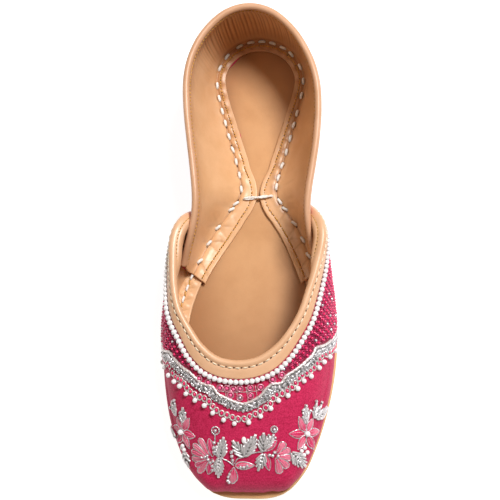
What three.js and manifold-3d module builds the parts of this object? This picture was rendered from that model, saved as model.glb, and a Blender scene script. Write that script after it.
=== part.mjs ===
// A flat mojari (jutti) slip-on shoe, made as its maker puts it together: a leather outsole, an
// insole on top of it, a vamp closed over the toes and a quarter strip round the heel. The vamp
// and the quarter are hollow walls whose lower margins turn in over the insole.
// Millimetres, +Z up. The toe points along -Y, the heel along +Y, and the sole rests on Z = 0.
import * as THREE from "three";
import { mergeVertices } from "three/addons/utils/BufferGeometryUtils.js";
import Module from "manifold-3d";

const wasm = await Module();
wasm.setup();

// Driving sizes.
const LENGTH = 250; // toe to heel
const SOLE_THICK = 4.5;
const TOE_SPRING = 2.4; // rise of the sole at the toe
const TOE_FLAT_END = -76; // the forefoot's flat spot starts here
const ARCH_RISE = 2; // rise of the sole at the waist
const ARCH_FRONT = -4; // the arch spans from here to ARCH_BACK
const ARCH_BACK = 68;
const GAP = 0.3; // clearance between neighbouring pieces
const INSOLE_THICK = 1.5;
const INSOLE_INSET = 5.7; // from the sole's edge
const VAMP_WALL = 1.8; // silk, padding and lining together
const QUARTER_WALL = 1.8;
const VAMP_INSET = 1; // the vamp's foot stands this far inside the sole's edge
const MARGIN_THICK = 1.4; // the turned-in margin of both uppers
const VAMP_MARGIN_INSET = 11.5; // inner edge of the vamp's margin, from the sole's edge
const VAMP_MARGIN_END = 142; // the vamp's margin stops here, as mm along the sole's edge
const RIB_STEP = 5; // spacing of the wall's ribs along the sole's edge
const WALL_STEPS = 10; // facets from the top edge to the foot of a wall
const SOLE_STATIONS = 50; // cross strips of the sole and insole

// A table: named columns, one row for each section.
const table = (columns, rows) =>
  rows.map((row) => Object.fromEntries(columns.map((name, i) => [name, row[i]])));

// Half of the sole's outline, from the middle of the toe to the widest part of the heel, which
// ends in a half circle.
const HEEL_RADIUS = 27.3;
const HEEL_CENTRE = LENGTH / 2 - HEEL_RADIUS;
const SOLE_OUTLINE = table(["across", "along"], [
  [0, -125],
  [11, -124.5],
  [19.2, -121.6],
  [28.2, -112],
  [33.6, -101],
  [39.8, -82],
  [43.5, -62],
  [44.4, -45],
  [43.2, -29],
  [39.6, -15],
  [33.8, 0],
  [26.4, 15.5],
  [19.4, 25],
  [13.5, 34],
  [14.6, 47],
  [20.4, 69],
  [25.6, 87],
  [HEEL_RADIUS, HEEL_CENTRE],
]);

// Sections of the vamp's outer face, from the middle of the toe to the back edge of the wing.
// edge: mm along the sole's edge, from the middle of the toe. rim: the collar. run and fall: how
// the face leaves the rim, outwards and down. swell and rise: how it meets the foot, outwards and
// up.
const VAMP_SECTIONS = table(
  ["edge", "rimX", "rimY", "rimZ", "run", "fall", "swell", "rise"],
  [
    [0, 0, -63, 42, 25, 8.5, 1, 17],
    [20, 9.8, -61.3, 42.1, 24, 8.5, 1.5, 17],
    [45, 18.5, -55.5, 42.4, 21, 8.5, 2.5, 17],
    [70, 25.2, -47.5, 42.8, 14, 7, 2, 16],
    [95, 31, -37, 43.3, 8.5, 6, 1.5, 15],
    [115, 34.2, -25, 43.8, 6, 6.5, 2, 14],
    [133, 36.8, -12, 44.3, 4.5, 9, 3, 13],
    [148, 38.3, -1, 44.4, 2.5, 11, 4, 12],
    [160, 37.4, 6.5, 43.6, 1.5, 12, 5.5, 11],
    [167, 35, 12, 41.3, 1, 11, 6, 11],
    [173, 31.6, 17, 37, 0.5, 9, 6.5, 10],
  ],
);

// Sections of the quarter's outer face, from the end inside the wing to the middle of the heel.
// edge: mm along the sole's edge, short of the middle of the heel. inset: the foot's distance
// inside the sole's edge. wallUp and marginUp: heights of the wall's foot and of the turned-in
// margin above the sole's top. margin: the margin's inner edge, inside the sole's edge.
const QUARTER_SECTIONS = table(
  ["edge", "rimX", "rimY", "rimZ", "run", "fall", "swell", "rise", "inset", "wallUp", "marginUp",
    "margin"],
  [
    [-162, 35.4, -9.8, 27.5, 0.5, 6, 1, 6, 3.4, 3.8, 3.8, 13.8],
    [-153, 33, -2, 34, 0.5, 9, 2.5, 7, 3.4, 3.8, 3.8, 13.8],
    [-143, 30.8, 6, 39.3, 0.5, 12, 3.5, 8, 3.4, 1, 2.4, 13.4],
    [-130, 29.4, 15.5, 43.2, 0.5, 14, 5, 9, 3.4, 0.3, 2.1, 12.9],
    [-117, 29.7, 25, 45.3, 1, 15, 7, 9, 3.4, 0.3, 2.1, 11.8],
    [-105, 31.2, 36.5, 46.6, 1, 16, 9, 8, 3.5, 0.3, 2.1, 11.4],
    [-90, 33.2, 51.5, 48.3, 1, 17, 8, 8, 2.2, 0.3, 2.1, 9.2],
    [-75, 34.5, 67, 49.9, 1, 17, 6.5, 9, 1.7, 0.3, 2.1, 8.7],
    [-60, 34.1, 82, 51.2, 1.5, 17, 5, 11, 1.6, 0.3, 2.1, 8.5],
    [-45, 30.6, 95.5, 52.2, 2, 16, 3.5, 13, 1.6, 0.3, 2.1, 8.3],
    [-30, 23.4, 108.3, 53, 2.5, 15, 2.5, 14, 1.6, 0.3, 2.1, 8.6],
    [-15, 12.6, 118.4, 53.4, 2.5, 15, 2, 14, 1.6, 0.3, 2.1, 9.2],
    [0, 0, 122, 53.5, 2.5, 15, 2, 14, 1.6, 0.3, 2.1, 9.5],
  ],
);

// The foot's curve, a left foot's: how far each place along the shoe moves towards +X at the
// sole, and how much more it moves at the height of the collar.
const FOOT_CURVE = table(["along", "bow", "lean"], [
  [-125, 0, 0],
  [-90, -0.5, -1.5],
  [-60, -0.2, -2.7],
  [-35, 0.2, -2.6],
  [-10, 1.1, -1],
  [15, 2.4, -0.2],
  [45, 3.1, 0],
  [70, 2.8, -0.2],
  [100, 2.4, -1.2],
  [125, 1.5, -1],
]);
const COLLAR_HEIGHT = 42; // where the lean is as tabled

// The sole's outline as one closed curve, measured in mm from the middle of the toe.
function outlineCurve() {
  const side = SOLE_OUTLINE.map(({ across, along }) => new THREE.Vector3(across, along, 0));
  for (let step = 1; step <= 6; step += 1) {
    const turn = (step / 6) * (Math.PI / 2);
    const x = HEEL_RADIUS * Math.cos(turn);
    side.push(new THREE.Vector3(x, HEEL_CENTRE + HEEL_RADIUS * Math.sin(turn), 0));
  }
  side[side.length - 1].x = 0;
  const otherSide = side.slice(1, -1).reverse().map(({ x, y }) => new THREE.Vector3(-x, y, 0));
  const curve = new THREE.CatmullRomCurve3([...side, ...otherSide], true, "centripetal");
  curve.arcLengthDivisions = 1200;
  return curve;
}

const OUTLINE = outlineCurve();
const ROUND = OUTLINE.getLength(); // length of the sole's edge
const HALF_ROUND = ROUND / 2;

// A point of the sole's edge with its outward direction, moved in by the inset.
function edgePoint(edge, inset = 0) {
  const at = (((edge % ROUND) + ROUND) % ROUND) / ROUND;
  const point = OUTLINE.getPointAt(at);
  const tangent = OUTLINE.getTangentAt(at);
  const out = new THREE.Vector3(tangent.y, -tangent.x, 0).normalize();
  return { point: point.addScaledVector(out, -inset), out };
}

// Height of the sole's underside: flat at the heel and forefoot, sprung at the toe and arched.
function soleUnder(along) {
  const toToe = Math.max(0, (TOE_FLAT_END - along) / (TOE_FLAT_END + LENGTH / 2));
  const inArch = THREE.MathUtils.clamp((along - ARCH_FRONT) / (ARCH_BACK - ARCH_FRONT), 0, 1);
  return TOE_SPRING * toToe ** 2 + ARCH_RISE * Math.sin(Math.PI * inArch) ** 2;
}

const soleTop = (along) => soleUnder(along) + SOLE_THICK;

// A wall's sections all the way round: the other side mirrors the side that its table gives.
function bothSides(sections) {
  const mirrored = sections
    .filter(({ edge }) => edge !== 0)
    .map((row) => ({ ...row, edge: -row.edge, rimX: -row.rimX }));
  return [...sections, ...mirrored].sort((a, b) => a.edge - b.edge);
}

// A table read smoothly between its rows: every column at one value of the key column.
function readAt(rows, key, value) {
  const last = rows.length - 1;
  const below = rows.findLastIndex((row) => row[key] <= value);
  const low = THREE.MathUtils.clamp(below, 0, last - 1);
  const [from, to] = [rows[low], rows[low + 1]];
  const [before, after] = [rows[Math.max(0, low - 1)], rows[Math.min(last, low + 2)]];
  const span = to[key] - from[key];
  const t = (value - from[key]) / span;
  const columns = Object.keys(from).map((name) => {
    const slopeFrom = ((to[name] - before[name]) / (to[key] - before[key])) * span;
    const slopeTo = ((after[name] - from[name]) / (after[key] - from[key])) * span;
    const onCurve =
      (2 * t ** 3 - 3 * t ** 2 + 1) * from[name] +
      (t ** 3 - 2 * t ** 2 + t) * slopeFrom +
      (3 * t ** 2 - 2 * t ** 3) * to[name] +
      (t ** 3 - t ** 2) * slopeTo;
    return [name, onCurve];
  });
  return Object.fromEntries(columns);
}

const sectionAt = (sections, edge) => readAt(sections, "edge", edge);

// The rib of a wall: a curve on its outer face, from the rim down to the foot.
function rib(sections, edge, foot) {
  const section = sectionAt(sections, edge);
  const ahead = sectionAt(sections, edge + 0.5);
  const behind = sectionAt(sections, edge - 0.5);
  const alongRim = new THREE.Vector3(ahead.rimX - behind.rimX, ahead.rimY - behind.rimY, 0);
  const rimOut = new THREE.Vector3(alongRim.y, -alongRim.x, 0).normalize();
  const rim = new THREE.Vector3(section.rimX, section.rimY, section.rimZ);
  const underRim = rim.clone().addScaledVector(rimOut, section.run);
  underRim.z -= section.fall;
  const overFoot = foot.point.clone().addScaledVector(foot.out, section.swell);
  overFoot.z += section.rise;
  return new THREE.CubicBezierCurve3(rim, underRim, overFoot, foot.point);
}

// Marks along the sole's edge, evenly spaced from one end of a piece to the other.
function marks(from, to) {
  const count = Math.round((to - from) / RIB_STEP);
  return Array.from({ length: count + 1 }, (_, i) => from + ((to - from) * i) / count);
}

// A closed body between an outer and an inner grid of points of the same size.
function bodyBetween(outer, inner) {
  const rows = outer.length;
  const columns = outer[0].length;
  const positions = [...outer.flat(), ...inner.flat()].flatMap(({ x, y, z }) => [x, y, z]);
  const out = (i, j) => i * columns + j;
  const into = (i, j) => rows * columns + out(i, j);
  const faces = [];
  const quad = (a, b, c, d) => faces.push(a, b, c, a, c, d);
  for (let i = 0; i + 1 < rows; i += 1) {
    for (let j = 0; j + 1 < columns; j += 1) {
      quad(out(i, j), out(i, j + 1), out(i + 1, j + 1), out(i + 1, j));
      quad(into(i, j), into(i + 1, j), into(i + 1, j + 1), into(i, j + 1));
    }
    quad(out(i, 0), out(i + 1, 0), into(i + 1, 0), into(i, 0));
    const j = columns - 1;
    quad(out(i, j), into(i, j), into(i + 1, j), out(i + 1, j));
  }
  for (let j = 0; j + 1 < columns; j += 1) {
    quad(out(0, j), into(0, j), into(0, j + 1), out(0, j + 1));
    const i = rows - 1;
    quad(out(i, j), out(i, j + 1), into(i, j + 1), into(i, j));
  }
  return facingOut(positions, faces);
}

// An indexed geometry, with its faces turned round if they enclose a negative volume.
function facingOut(positions, faces) {
  let volume = 0;
  const corner = (index) => new THREE.Vector3().fromArray(positions, index * 3);
  for (let i = 0; i < faces.length; i += 3) {
    volume += corner(faces[i]).dot(corner(faces[i + 1]).cross(corner(faces[i + 2])));
  }
  const geometry = new THREE.BufferGeometry();
  geometry.setAttribute("position", new THREE.Float32BufferAttribute(positions, 3));
  geometry.setIndex(volume < 0 ? faces.toReversed() : faces);
  return geometry;
}

// A wall: ribs side by side for the outer face, and the same moved in by the wall's thickness.
function wallBody(ribAt, edges, thick) {
  const outer = edges.map((edge) => ribAt(edge).getPoints(WALL_STEPS));
  const inner = edges.map((edge, i) => {
    const next = ribAt(edge + 0.5).getPoints(WALL_STEPS);
    const previous = ribAt(edge - 0.5).getPoints(WALL_STEPS);
    return outer[i].map((point, j) => {
      const down = outer[i][Math.min(WALL_STEPS, j + 1)].clone();
      down.sub(outer[i][Math.max(0, j - 1)]);
      const inward = next[j].clone().sub(previous[j]).cross(down).normalize();
      const moved = point.clone().addScaledVector(inward, thick);
      return j === WALL_STEPS ? moved.setZ(point.z) : moved;
    });
  });
  return bodyBetween(outer, inner);
}

// Where a rib passes a height, found by halving.
function ribAtHeight(curve, height) {
  let above = 0;
  let below = 1;
  for (let step = 0; step < 24; step += 1) {
    const middle = (above + below) / 2;
    if (curve.getPoint(middle).z > height) above = middle;
    else below = middle;
  }
  return curve.getPoint(above);
}

// The margin turned in over the insole: a thin band from the middle of the wall to its edge.
function marginBody(ribAt, edges, thick, marginAt) {
  const band = edges.map((edge) => {
    const { inside, up } = marginAt(edge);
    const low = soleTop(inside.point.y) + up;
    const wall = ribAtHeight(ribAt(edge), low + MARGIN_THICK / 2);
    const outside = wall.addScaledVector(inside.out, -thick / 2);
    outside.z = soleTop(outside.y) + up;
    return [outside, inside.point.setZ(low)];
  });
  const raised = band.map((pair) => pair.map((point) => point.clone().setZ(point.z + MARGIN_THICK)));
  return bodyBetween(band, raised);
}

// Joins closed geometries into one body.
function joined(...geometries) {
  const solids = geometries.map((geometry) => {
    const merged = mergeVertices(geometry);
    const vertProperties = new Float32Array(merged.attributes.position.array);
    const triVerts = new Uint32Array(merged.index.array);
    return new wasm.Manifold(new wasm.Mesh({ numProp: 3, vertProperties, triVerts }));
  });
  const { vertProperties, triVerts } = solids.reduce((sum, solid) => sum.add(solid)).getMesh();
  const geometry = new THREE.BufferGeometry();
  geometry.setAttribute("position", new THREE.BufferAttribute(vertProperties, 3));
  geometry.setIndex(new THREE.BufferAttribute(triVerts, 1));
  return geometry;
}

// A flat sole piece: cross strips between the outline's two sides, moved in by the inset.
function slabBody(inset, underAt, thick) {
  const start = edgePoint(0, inset).point;
  const end = edgePoint(HALF_ROUND, inset).point;
  const positions = [];
  const addPair = (x, y) => {
    for (const z of [underAt(y), underAt(y) + thick]) positions.push(x, y, z);
  };
  addPair(0, start.y);
  for (let i = 1; i < SOLE_STATIONS; i += 1) {
    const { x, y } = edgePoint((HALF_ROUND * i) / SOLE_STATIONS, inset).point;
    addPair(x, y);
    addPair(-x, y);
  }
  addPair(0, end.y);
  const last = positions.length / 3 - 2;
  const right = (i) => (i === 0 ? 0 : i === SOLE_STATIONS ? last : 4 * i - 2);
  const left = (i) => (i === 0 ? 0 : i === SOLE_STATIONS ? last : 4 * i);
  const faces = [];
  const add = (a, b, c) => {
    if (a !== b && b !== c && a !== c) faces.push(a, b, c);
  };
  for (let i = 0; i < SOLE_STATIONS; i += 1) {
    const [r0, r1, l0, l1] = [right(i), right(i + 1), left(i), left(i + 1)];
    add(r0, l1, r1);
    add(r0, l0, l1);
    add(r0 + 1, r1 + 1, l1 + 1);
    add(r0 + 1, l1 + 1, l0 + 1);
    add(r0, r1, r1 + 1);
    add(r0, r1 + 1, r0 + 1);
    add(l0, l1 + 1, l1);
    add(l0, l0 + 1, l1 + 1);
  }
  return facingOut(positions, faces);
}

const vampRows = bothSides(VAMP_SECTIONS);
const quarterRows = bothSides(QUARTER_SECTIONS);

function vampRib(edge) {
  const foot = edgePoint(edge, VAMP_INSET);
  foot.point.z = soleTop(foot.point.y) + GAP;
  return rib(vampRows, edge, foot);
}

function quarterRib(edge) {
  const { inset, wallUp } = sectionAt(quarterRows, edge);
  const foot = edgePoint(HALF_ROUND + edge, inset);
  foot.point.z = soleTop(foot.point.y) + wallUp;
  return rib(quarterRows, edge, foot);
}

function vamp() {
  const wingEnd = VAMP_SECTIONS.at(-1).edge;
  return joined(
    wallBody(vampRib, marks(-wingEnd, wingEnd), VAMP_WALL),
    marginBody(vampRib, marks(-VAMP_MARGIN_END, VAMP_MARGIN_END), VAMP_WALL, (edge) => ({
      inside: edgePoint(edge, VAMP_MARGIN_INSET),
      up: 2 * GAP + INSOLE_THICK,
    })),
  );
}

function quarter() {
  const wingEnd = QUARTER_SECTIONS[0].edge;
  const edges = marks(wingEnd, -wingEnd);
  return joined(
    wallBody(quarterRib, edges, QUARTER_WALL),
    marginBody(quarterRib, edges, QUARTER_WALL, (edge) => {
      const { marginUp, margin } = sectionAt(quarterRows, edge);
      return { inside: edgePoint(HALF_ROUND + edge, margin), up: marginUp };
    }),
  );
}

const outsole = () => slabBody(0, soleUnder, SOLE_THICK);
const insole = () => slabBody(INSOLE_INSET, (along) => soleTop(along) + GAP, INSOLE_THICK);

// Bends a straight body to the foot's curve.
function curved(geometry) {
  const { position } = geometry.attributes;
  for (let i = 0; i < position.count; i += 1) {
    const { bow, lean } = readAt(FOOT_CURVE, "along", position.getY(i));
    const height = position.getZ(i) / COLLAR_HEIGHT;
    position.setX(i, position.getX(i) + bow + lean * height ** 2);
  }
  return geometry;
}

function piece(name, geometry, color, roughness) {
  const mesh = new THREE.Mesh(
    curved(geometry),
    new THREE.MeshStandardMaterial({ color, roughness, metalness: 0 }),
  );
  mesh.name = name;
  return mesh;
}

const shoe = new THREE.Group();
shoe.add(
  piece("outsole", outsole(), 0xc98a52, 0.6),
  piece("insole", insole(), 0xd79b69, 0.5),
  piece("vamp", vamp(), 0xc4305f, 0.7),
  piece("quarter", quarter(), 0xe0a878, 0.5),
);

export default shoe;
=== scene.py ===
import math

import bpy
import numpy as np
from mathutils import Matrix, Vector
from mathutils.bvhtree import BVHTree


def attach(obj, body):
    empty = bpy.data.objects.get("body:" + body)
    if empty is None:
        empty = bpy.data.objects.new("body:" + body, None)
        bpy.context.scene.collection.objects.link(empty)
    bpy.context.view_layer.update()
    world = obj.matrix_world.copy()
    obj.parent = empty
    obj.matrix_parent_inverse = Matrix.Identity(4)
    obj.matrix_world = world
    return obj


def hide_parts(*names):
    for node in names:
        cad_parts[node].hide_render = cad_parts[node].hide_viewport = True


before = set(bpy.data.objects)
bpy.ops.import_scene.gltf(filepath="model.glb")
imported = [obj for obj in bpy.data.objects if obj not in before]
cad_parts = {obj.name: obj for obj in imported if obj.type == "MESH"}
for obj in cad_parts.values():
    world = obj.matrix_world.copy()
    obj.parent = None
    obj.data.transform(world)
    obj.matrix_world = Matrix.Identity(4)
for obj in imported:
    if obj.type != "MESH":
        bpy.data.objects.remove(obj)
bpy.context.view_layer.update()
rng = np.random.default_rng(11)

MM = 0.001
LENGTH = 250.0  # toe to heel
SOLE_THICK = 4.5
TOE_SPRING, TOE_FLAT_END = 2.4, -76.0
ARCH_RISE, ARCH_FRONT, ARCH_BACK = 2.0, -4.0, 68.0
GAP = 0.3
INSOLE_THICK = 1.5
INSOLE_INSET = 5.7
WALL = 1.8  # silk, padding and lining together
SKIN = 0.8  # one layer of it
MARGIN_THICK = 1.4
VAMP_MARGIN_INSET = 11.5
VAMP_MARGIN_END = 142.0
MARGIN_UP = 2 * GAP + INSOLE_THICK
HEEL_RADIUS = 27.3
HEEL_CENTRE = LENGTH / 2 - HEEL_RADIUS
COLLAR_HEIGHT = 42.0


def table(columns, *rows):
    """Named columns, one row for each section."""
    return dict(zip(columns.split(), np.array(rows, float).T))


def read(rows, key, at):
    """Every column of a table, read smoothly between its rows."""
    keys = rows[key]
    last = len(keys) - 1
    low = np.clip(np.searchsorted(keys, at, side="right") - 1, 0, last - 1)
    before, after = np.maximum(low - 1, 0), np.minimum(low + 2, last)
    span = keys[low + 1] - keys[low]
    t = (at - keys[low]) / span

    def column(values):
        leave = (values[low + 1] - values[before]) / (keys[low + 1] - keys[before]) * span
        arrive = (values[after] - values[low]) / (keys[after] - keys[low]) * span
        return hermite(t, values[low], leave, values[low + 1], arrive)

    return {name: column(values) for name, values in rows.items()}


def hermite(t, start, leave, end, arrive):
    return (
        (2 * t**3 - 3 * t**2 + 1) * start
        + (t**3 - 2 * t**2 + t) * leave
        + (3 * t**2 - 2 * t**3) * end
        + (t**3 - t**2) * arrive
    )


# ---- the shoe's own measures, the same as its solid parts' ----

SOLE_OUTLINE = table(
    "across along",
    (0, -125), (11, -124.5), (19.2, -121.6), (28.2, -112), (33.6, -101), (39.8, -82),
    (43.5, -62), (44.4, -45), (43.2, -29), (39.6, -15), (33.8, 0), (26.4, 15.5),
    (19.4, 25), (13.5, 34), (14.6, 47), (20.4, 69), (25.6, 87), (27.3, 97.7),
)
VAMP_SECTIONS = table(
    "edge rimX rimY rimZ run fall swell rise",
    (0, 0, -63, 42, 25, 8.5, 1, 17),
    (20, 9.8, -61.3, 42.1, 24, 8.5, 1.5, 17),
    (45, 18.5, -55.5, 42.4, 21, 8.5, 2.5, 17),
    (70, 25.2, -47.5, 42.8, 14, 7, 2, 16),
    (95, 31, -37, 43.3, 8.5, 6, 1.5, 15),
    (115, 34.2, -25, 43.8, 6, 6.5, 2, 14),
    (133, 36.8, -12, 44.3, 4.5, 9, 3, 13),
    (148, 38.3, -1, 44.4, 2.5, 11, 4, 12),
    (160, 37.4, 6.5, 43.6, 1.5, 12, 5.5, 11),
    (167, 35, 12, 41.3, 1, 11, 6, 11),
    (173, 31.6, 17, 37, 0.5, 9, 6.5, 10),
)
QUARTER_SECTIONS = table(
    "edge rimX rimY rimZ run fall swell rise inset wallUp marginUp margin",
    (-162, 35.4, -9.8, 27.5, 0.5, 6, 1, 6, 3.4, 3.8, 3.8, 13.8),
    (-153, 33, -2, 34, 0.5, 9, 2.5, 7, 3.4, 3.8, 3.8, 13.8),
    (-143, 30.8, 6, 39.3, 0.5, 12, 3.5, 8, 3.4, 1, 2.4, 13.4),
    (-130, 29.4, 15.5, 43.2, 0.5, 14, 5, 9, 3.4, 0.3, 2.1, 12.9),
    (-117, 29.7, 25, 45.3, 1, 15, 7, 9, 3.4, 0.3, 2.1, 11.8),
    (-105, 31.2, 36.5, 46.6, 1, 16, 9, 8, 3.5, 0.3, 2.1, 11.4),
    (-90, 33.2, 51.5, 48.3, 1, 17, 8, 8, 2.2, 0.3, 2.1, 9.2),
    (-75, 34.5, 67, 49.9, 1, 17, 6.5, 9, 1.7, 0.3, 2.1, 8.7),
    (-60, 34.1, 82, 51.2, 1.5, 17, 5, 11, 1.6, 0.3, 2.1, 8.5),
    (-45, 30.6, 95.5, 52.2, 2, 16, 3.5, 13, 1.6, 0.3, 2.1, 8.3),
    (-30, 23.4, 108.3, 53, 2.5, 15, 2.5, 14, 1.6, 0.3, 2.1, 8.6),
    (-15, 12.6, 118.4, 53.4, 2.5, 15, 2, 14, 1.6, 0.3, 2.1, 9.2),
    (0, 0, 122, 53.5, 2.5, 15, 2, 14, 1.6, 0.3, 2.1, 9.5),
)
FOOT_CURVE = table(
    "along bow lean",
    (-125, 0, 0), (-90, -0.5, -1.5), (-60, -0.2, -2.7), (-35, 0.2, -2.6), (-10, 1.1, -1),
    (15, 2.4, -0.2), (45, 3.1, 0), (70, 2.8, -0.2), (100, 2.4, -1.2), (125, 1.5, -1),
)


def both_sides(rows):
    """A wall's sections all the way round: the other side mirrors the side in the table."""
    keep = rows["edge"] != 0
    joined = {
        name: np.concatenate([column, (-column if name in ("edge", "rimX") else column)[keep]])
        for name, column in rows.items()
    }
    order = np.argsort(joined["edge"])
    return {name: column[order] for name, column in joined.items()}


def outline():
    """The sole's outline as a closed line of close points, from the middle of the toe."""
    turns = np.linspace(0, np.pi / 2, 7)[1:]
    across = np.append(SOLE_OUTLINE["across"], HEEL_RADIUS * np.cos(turns))
    along = np.append(SOLE_OUTLINE["along"], HEEL_CENTRE + HEEL_RADIUS * np.sin(turns))
    across[-1] = 0
    knots = np.column_stack(
        [np.append(across, -across[-2:0:-1]), np.append(along, along[-2:0:-1])]
    )
    line = []
    t = np.linspace(0, 1, 60, endpoint=False)[:, None]
    for i in range(len(knots)):
        a, b, c, d = (knots[(i + k) % len(knots)] for k in (-1, 0, 1, 2))
        before, span, after = (np.linalg.norm(q - p) ** 0.5 for p, q in ((a, b), (b, c), (c, d)))
        leave = ((b - a) / before - (c - a) / (before + span) + (c - b) / span) * span
        arrive = ((c - b) / span - (d - b) / (span + after) + (d - c) / after) * span
        line.append(hermite(t, b, leave, c, arrive))
    return np.vstack([*line, knots[:1]])


OUTLINE = outline()
ROUND_AT = np.append(0, np.cumsum(np.linalg.norm(np.diff(OUTLINE, axis=0), axis=1)))
HALF_ROUND = ROUND_AT[-1] / 2


def unit(vectors):
    return vectors / np.linalg.norm(vectors, axis=-1, keepdims=True)


def blend(one, other, share):
    return one * (1 - share) + other * share


def smooth(t):
    """From 0 to 1, slow at both ends."""
    t = np.clip(t, 0, 1)
    return t * t * (3 - 2 * t)


def bell(x, width, power=2):
    """1 in the middle and 0 far from it. A higher power gives it a flatter top."""
    return np.exp(-((x / width) ** power))


def edge_point(edge, inset):
    """A point of the sole's edge, moved in by the inset, and its outward direction."""
    at = np.asarray(edge, float)

    def on_line(s):
        s = s % ROUND_AT[-1]
        return np.stack([np.interp(s, ROUND_AT, OUTLINE[:, k]) for k in (0, 1)], -1)

    ahead = on_line(at + 0.7) - on_line(at - 0.7)
    out = unit(np.stack([ahead[..., 1], -ahead[..., 0]], -1))
    return on_line(at) - out * np.asarray(inset)[..., None], out


def sole_under(along):
    """Height of the sole's underside: flat at heel and forefoot, sprung at the toe, arched."""
    to_toe = np.maximum(0, (TOE_FLAT_END - along) / (TOE_FLAT_END + LENGTH / 2))
    in_arch = np.clip((along - ARCH_FRONT) / (ARCH_BACK - ARCH_FRONT), 0, 1)
    return TOE_SPRING * to_toe**2 + ARCH_RISE * np.sin(np.pi * in_arch) ** 2


def sole_top(along):
    return sole_under(along) + SOLE_THICK


def curved(points):
    """Points of a straight shoe, bent to the foot's curve."""
    bend = read(FOOT_CURVE, "along", points[..., 1])
    moved = points.copy()
    moved[..., 0] += bend["bow"] + bend["lean"] * (points[..., 2] / COLLAR_HEIGHT) ** 2
    return moved


class Wall:
    """A wall of the upper. A place on it is told by mm along the sole's edge, mm down from the
    rim, and mm of lift off its outer face."""

    SHARES = 61

    def __init__(self, rows, end, foot_of):
        self.rows, self.end, self.foot_of = rows, end, foot_of
        self.edges = np.linspace(-end, end, round(2 * end) + 1)
        ribs = self.ribs(self.edges)
        reach = np.cumsum(np.linalg.norm(np.diff(ribs, axis=1), axis=2), axis=1)
        self.lengths = reach[:, -1]
        shares = np.linspace(0, 1, self.SHARES)
        self.skin = np.array([
            np.column_stack([np.interp(shares * r[-1], [0, *r], rib[:, k]) for k in range(3)])
            for r, rib in zip(reach, ribs)
        ])
        along, down = np.gradient(self.skin, axis=0), np.gradient(self.skin, axis=1)
        self.normals = unit(np.cross(down, along))

    def ribs(self, edges):
        """Close points down each rib, a curve from the rim to the foot."""
        row = read(self.rows, "edge", edges)
        ahead, behind = (read(self.rows, "edge", edges + s) for s in (0.5, -0.5))
        rim_out = unit(
            np.stack([ahead["rimY"] - behind["rimY"], behind["rimX"] - ahead["rimX"]], -1)
        )
        foot, out = self.foot_of(edges, row)
        rim = np.stack([row["rimX"], row["rimY"], row["rimZ"]], -1)
        under_rim, over_foot = rim.copy(), foot.copy()
        under_rim[:, :2] += rim_out * row["run"][:, None]
        under_rim[:, 2] -= row["fall"]
        over_foot[:, :2] += out * row["swell"][:, None]
        over_foot[:, 2] += row["rise"]
        t = np.linspace(0, 1, 121)[None, :, None]
        rim, under_rim, over_foot, foot = (
            p[:, None] for p in (rim, under_rim, over_foot, foot)
        )
        return curved(
            (1 - t) ** 3 * rim + 3 * (1 - t) ** 2 * t * under_rim
            + 3 * (1 - t) * t**2 * over_foot + t**3 * foot
        )

    def length(self, edge):
        return np.interp(edge, self.edges, self.lengths)

    def at(self, edge, down, lift=0.0):
        edge, down = np.broadcast_arrays(np.asarray(edge, float), np.asarray(down, float))
        a = (edge - self.edges[0]) / (self.edges[1] - self.edges[0])
        i = np.clip(np.floor(a), 0, len(self.edges) - 2).astype(int)
        a = a - i
        b = down / (self.lengths[i] * (1 - a) + self.lengths[i + 1] * a) * (self.SHARES - 1)
        j = np.clip(np.floor(b), 0, self.SHARES - 2).astype(int)
        a, b = a[..., None], (b - j)[..., None]

        def mixed(grid):
            upper = grid[i, j] * (1 - a) + grid[i + 1, j] * a
            lower = grid[i, j + 1] * (1 - a) + grid[i + 1, j + 1] * a
            return upper * (1 - b) + lower * b

        return mixed(self.skin) + unit(mixed(self.normals)) * np.asarray(lift, float)[..., None]

    def outward(self, edge, down):
        return self.at(edge, down, 1.0) - self.at(edge, down)


def vamp_foot(edges, _row):
    foot, out = edge_point(edges, 1.0)
    return np.column_stack([foot, sole_top(foot[:, 1]) + GAP]), out


def quarter_foot(edges, row):
    foot, out = edge_point(HALF_ROUND + edges, row["inset"])
    return np.column_stack([foot, sole_top(foot[:, 1]) + row["wallUp"]]), out


QUARTER_END = 162.0  # from the heel's middle to a front end
QUARTER_ROWS = both_sides(QUARTER_SECTIONS)
VAMP = Wall(both_sides(VAMP_SECTIONS), 173, vamp_foot)
QUARTER = Wall(QUARTER_ROWS, QUARTER_END, quarter_foot)


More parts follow.
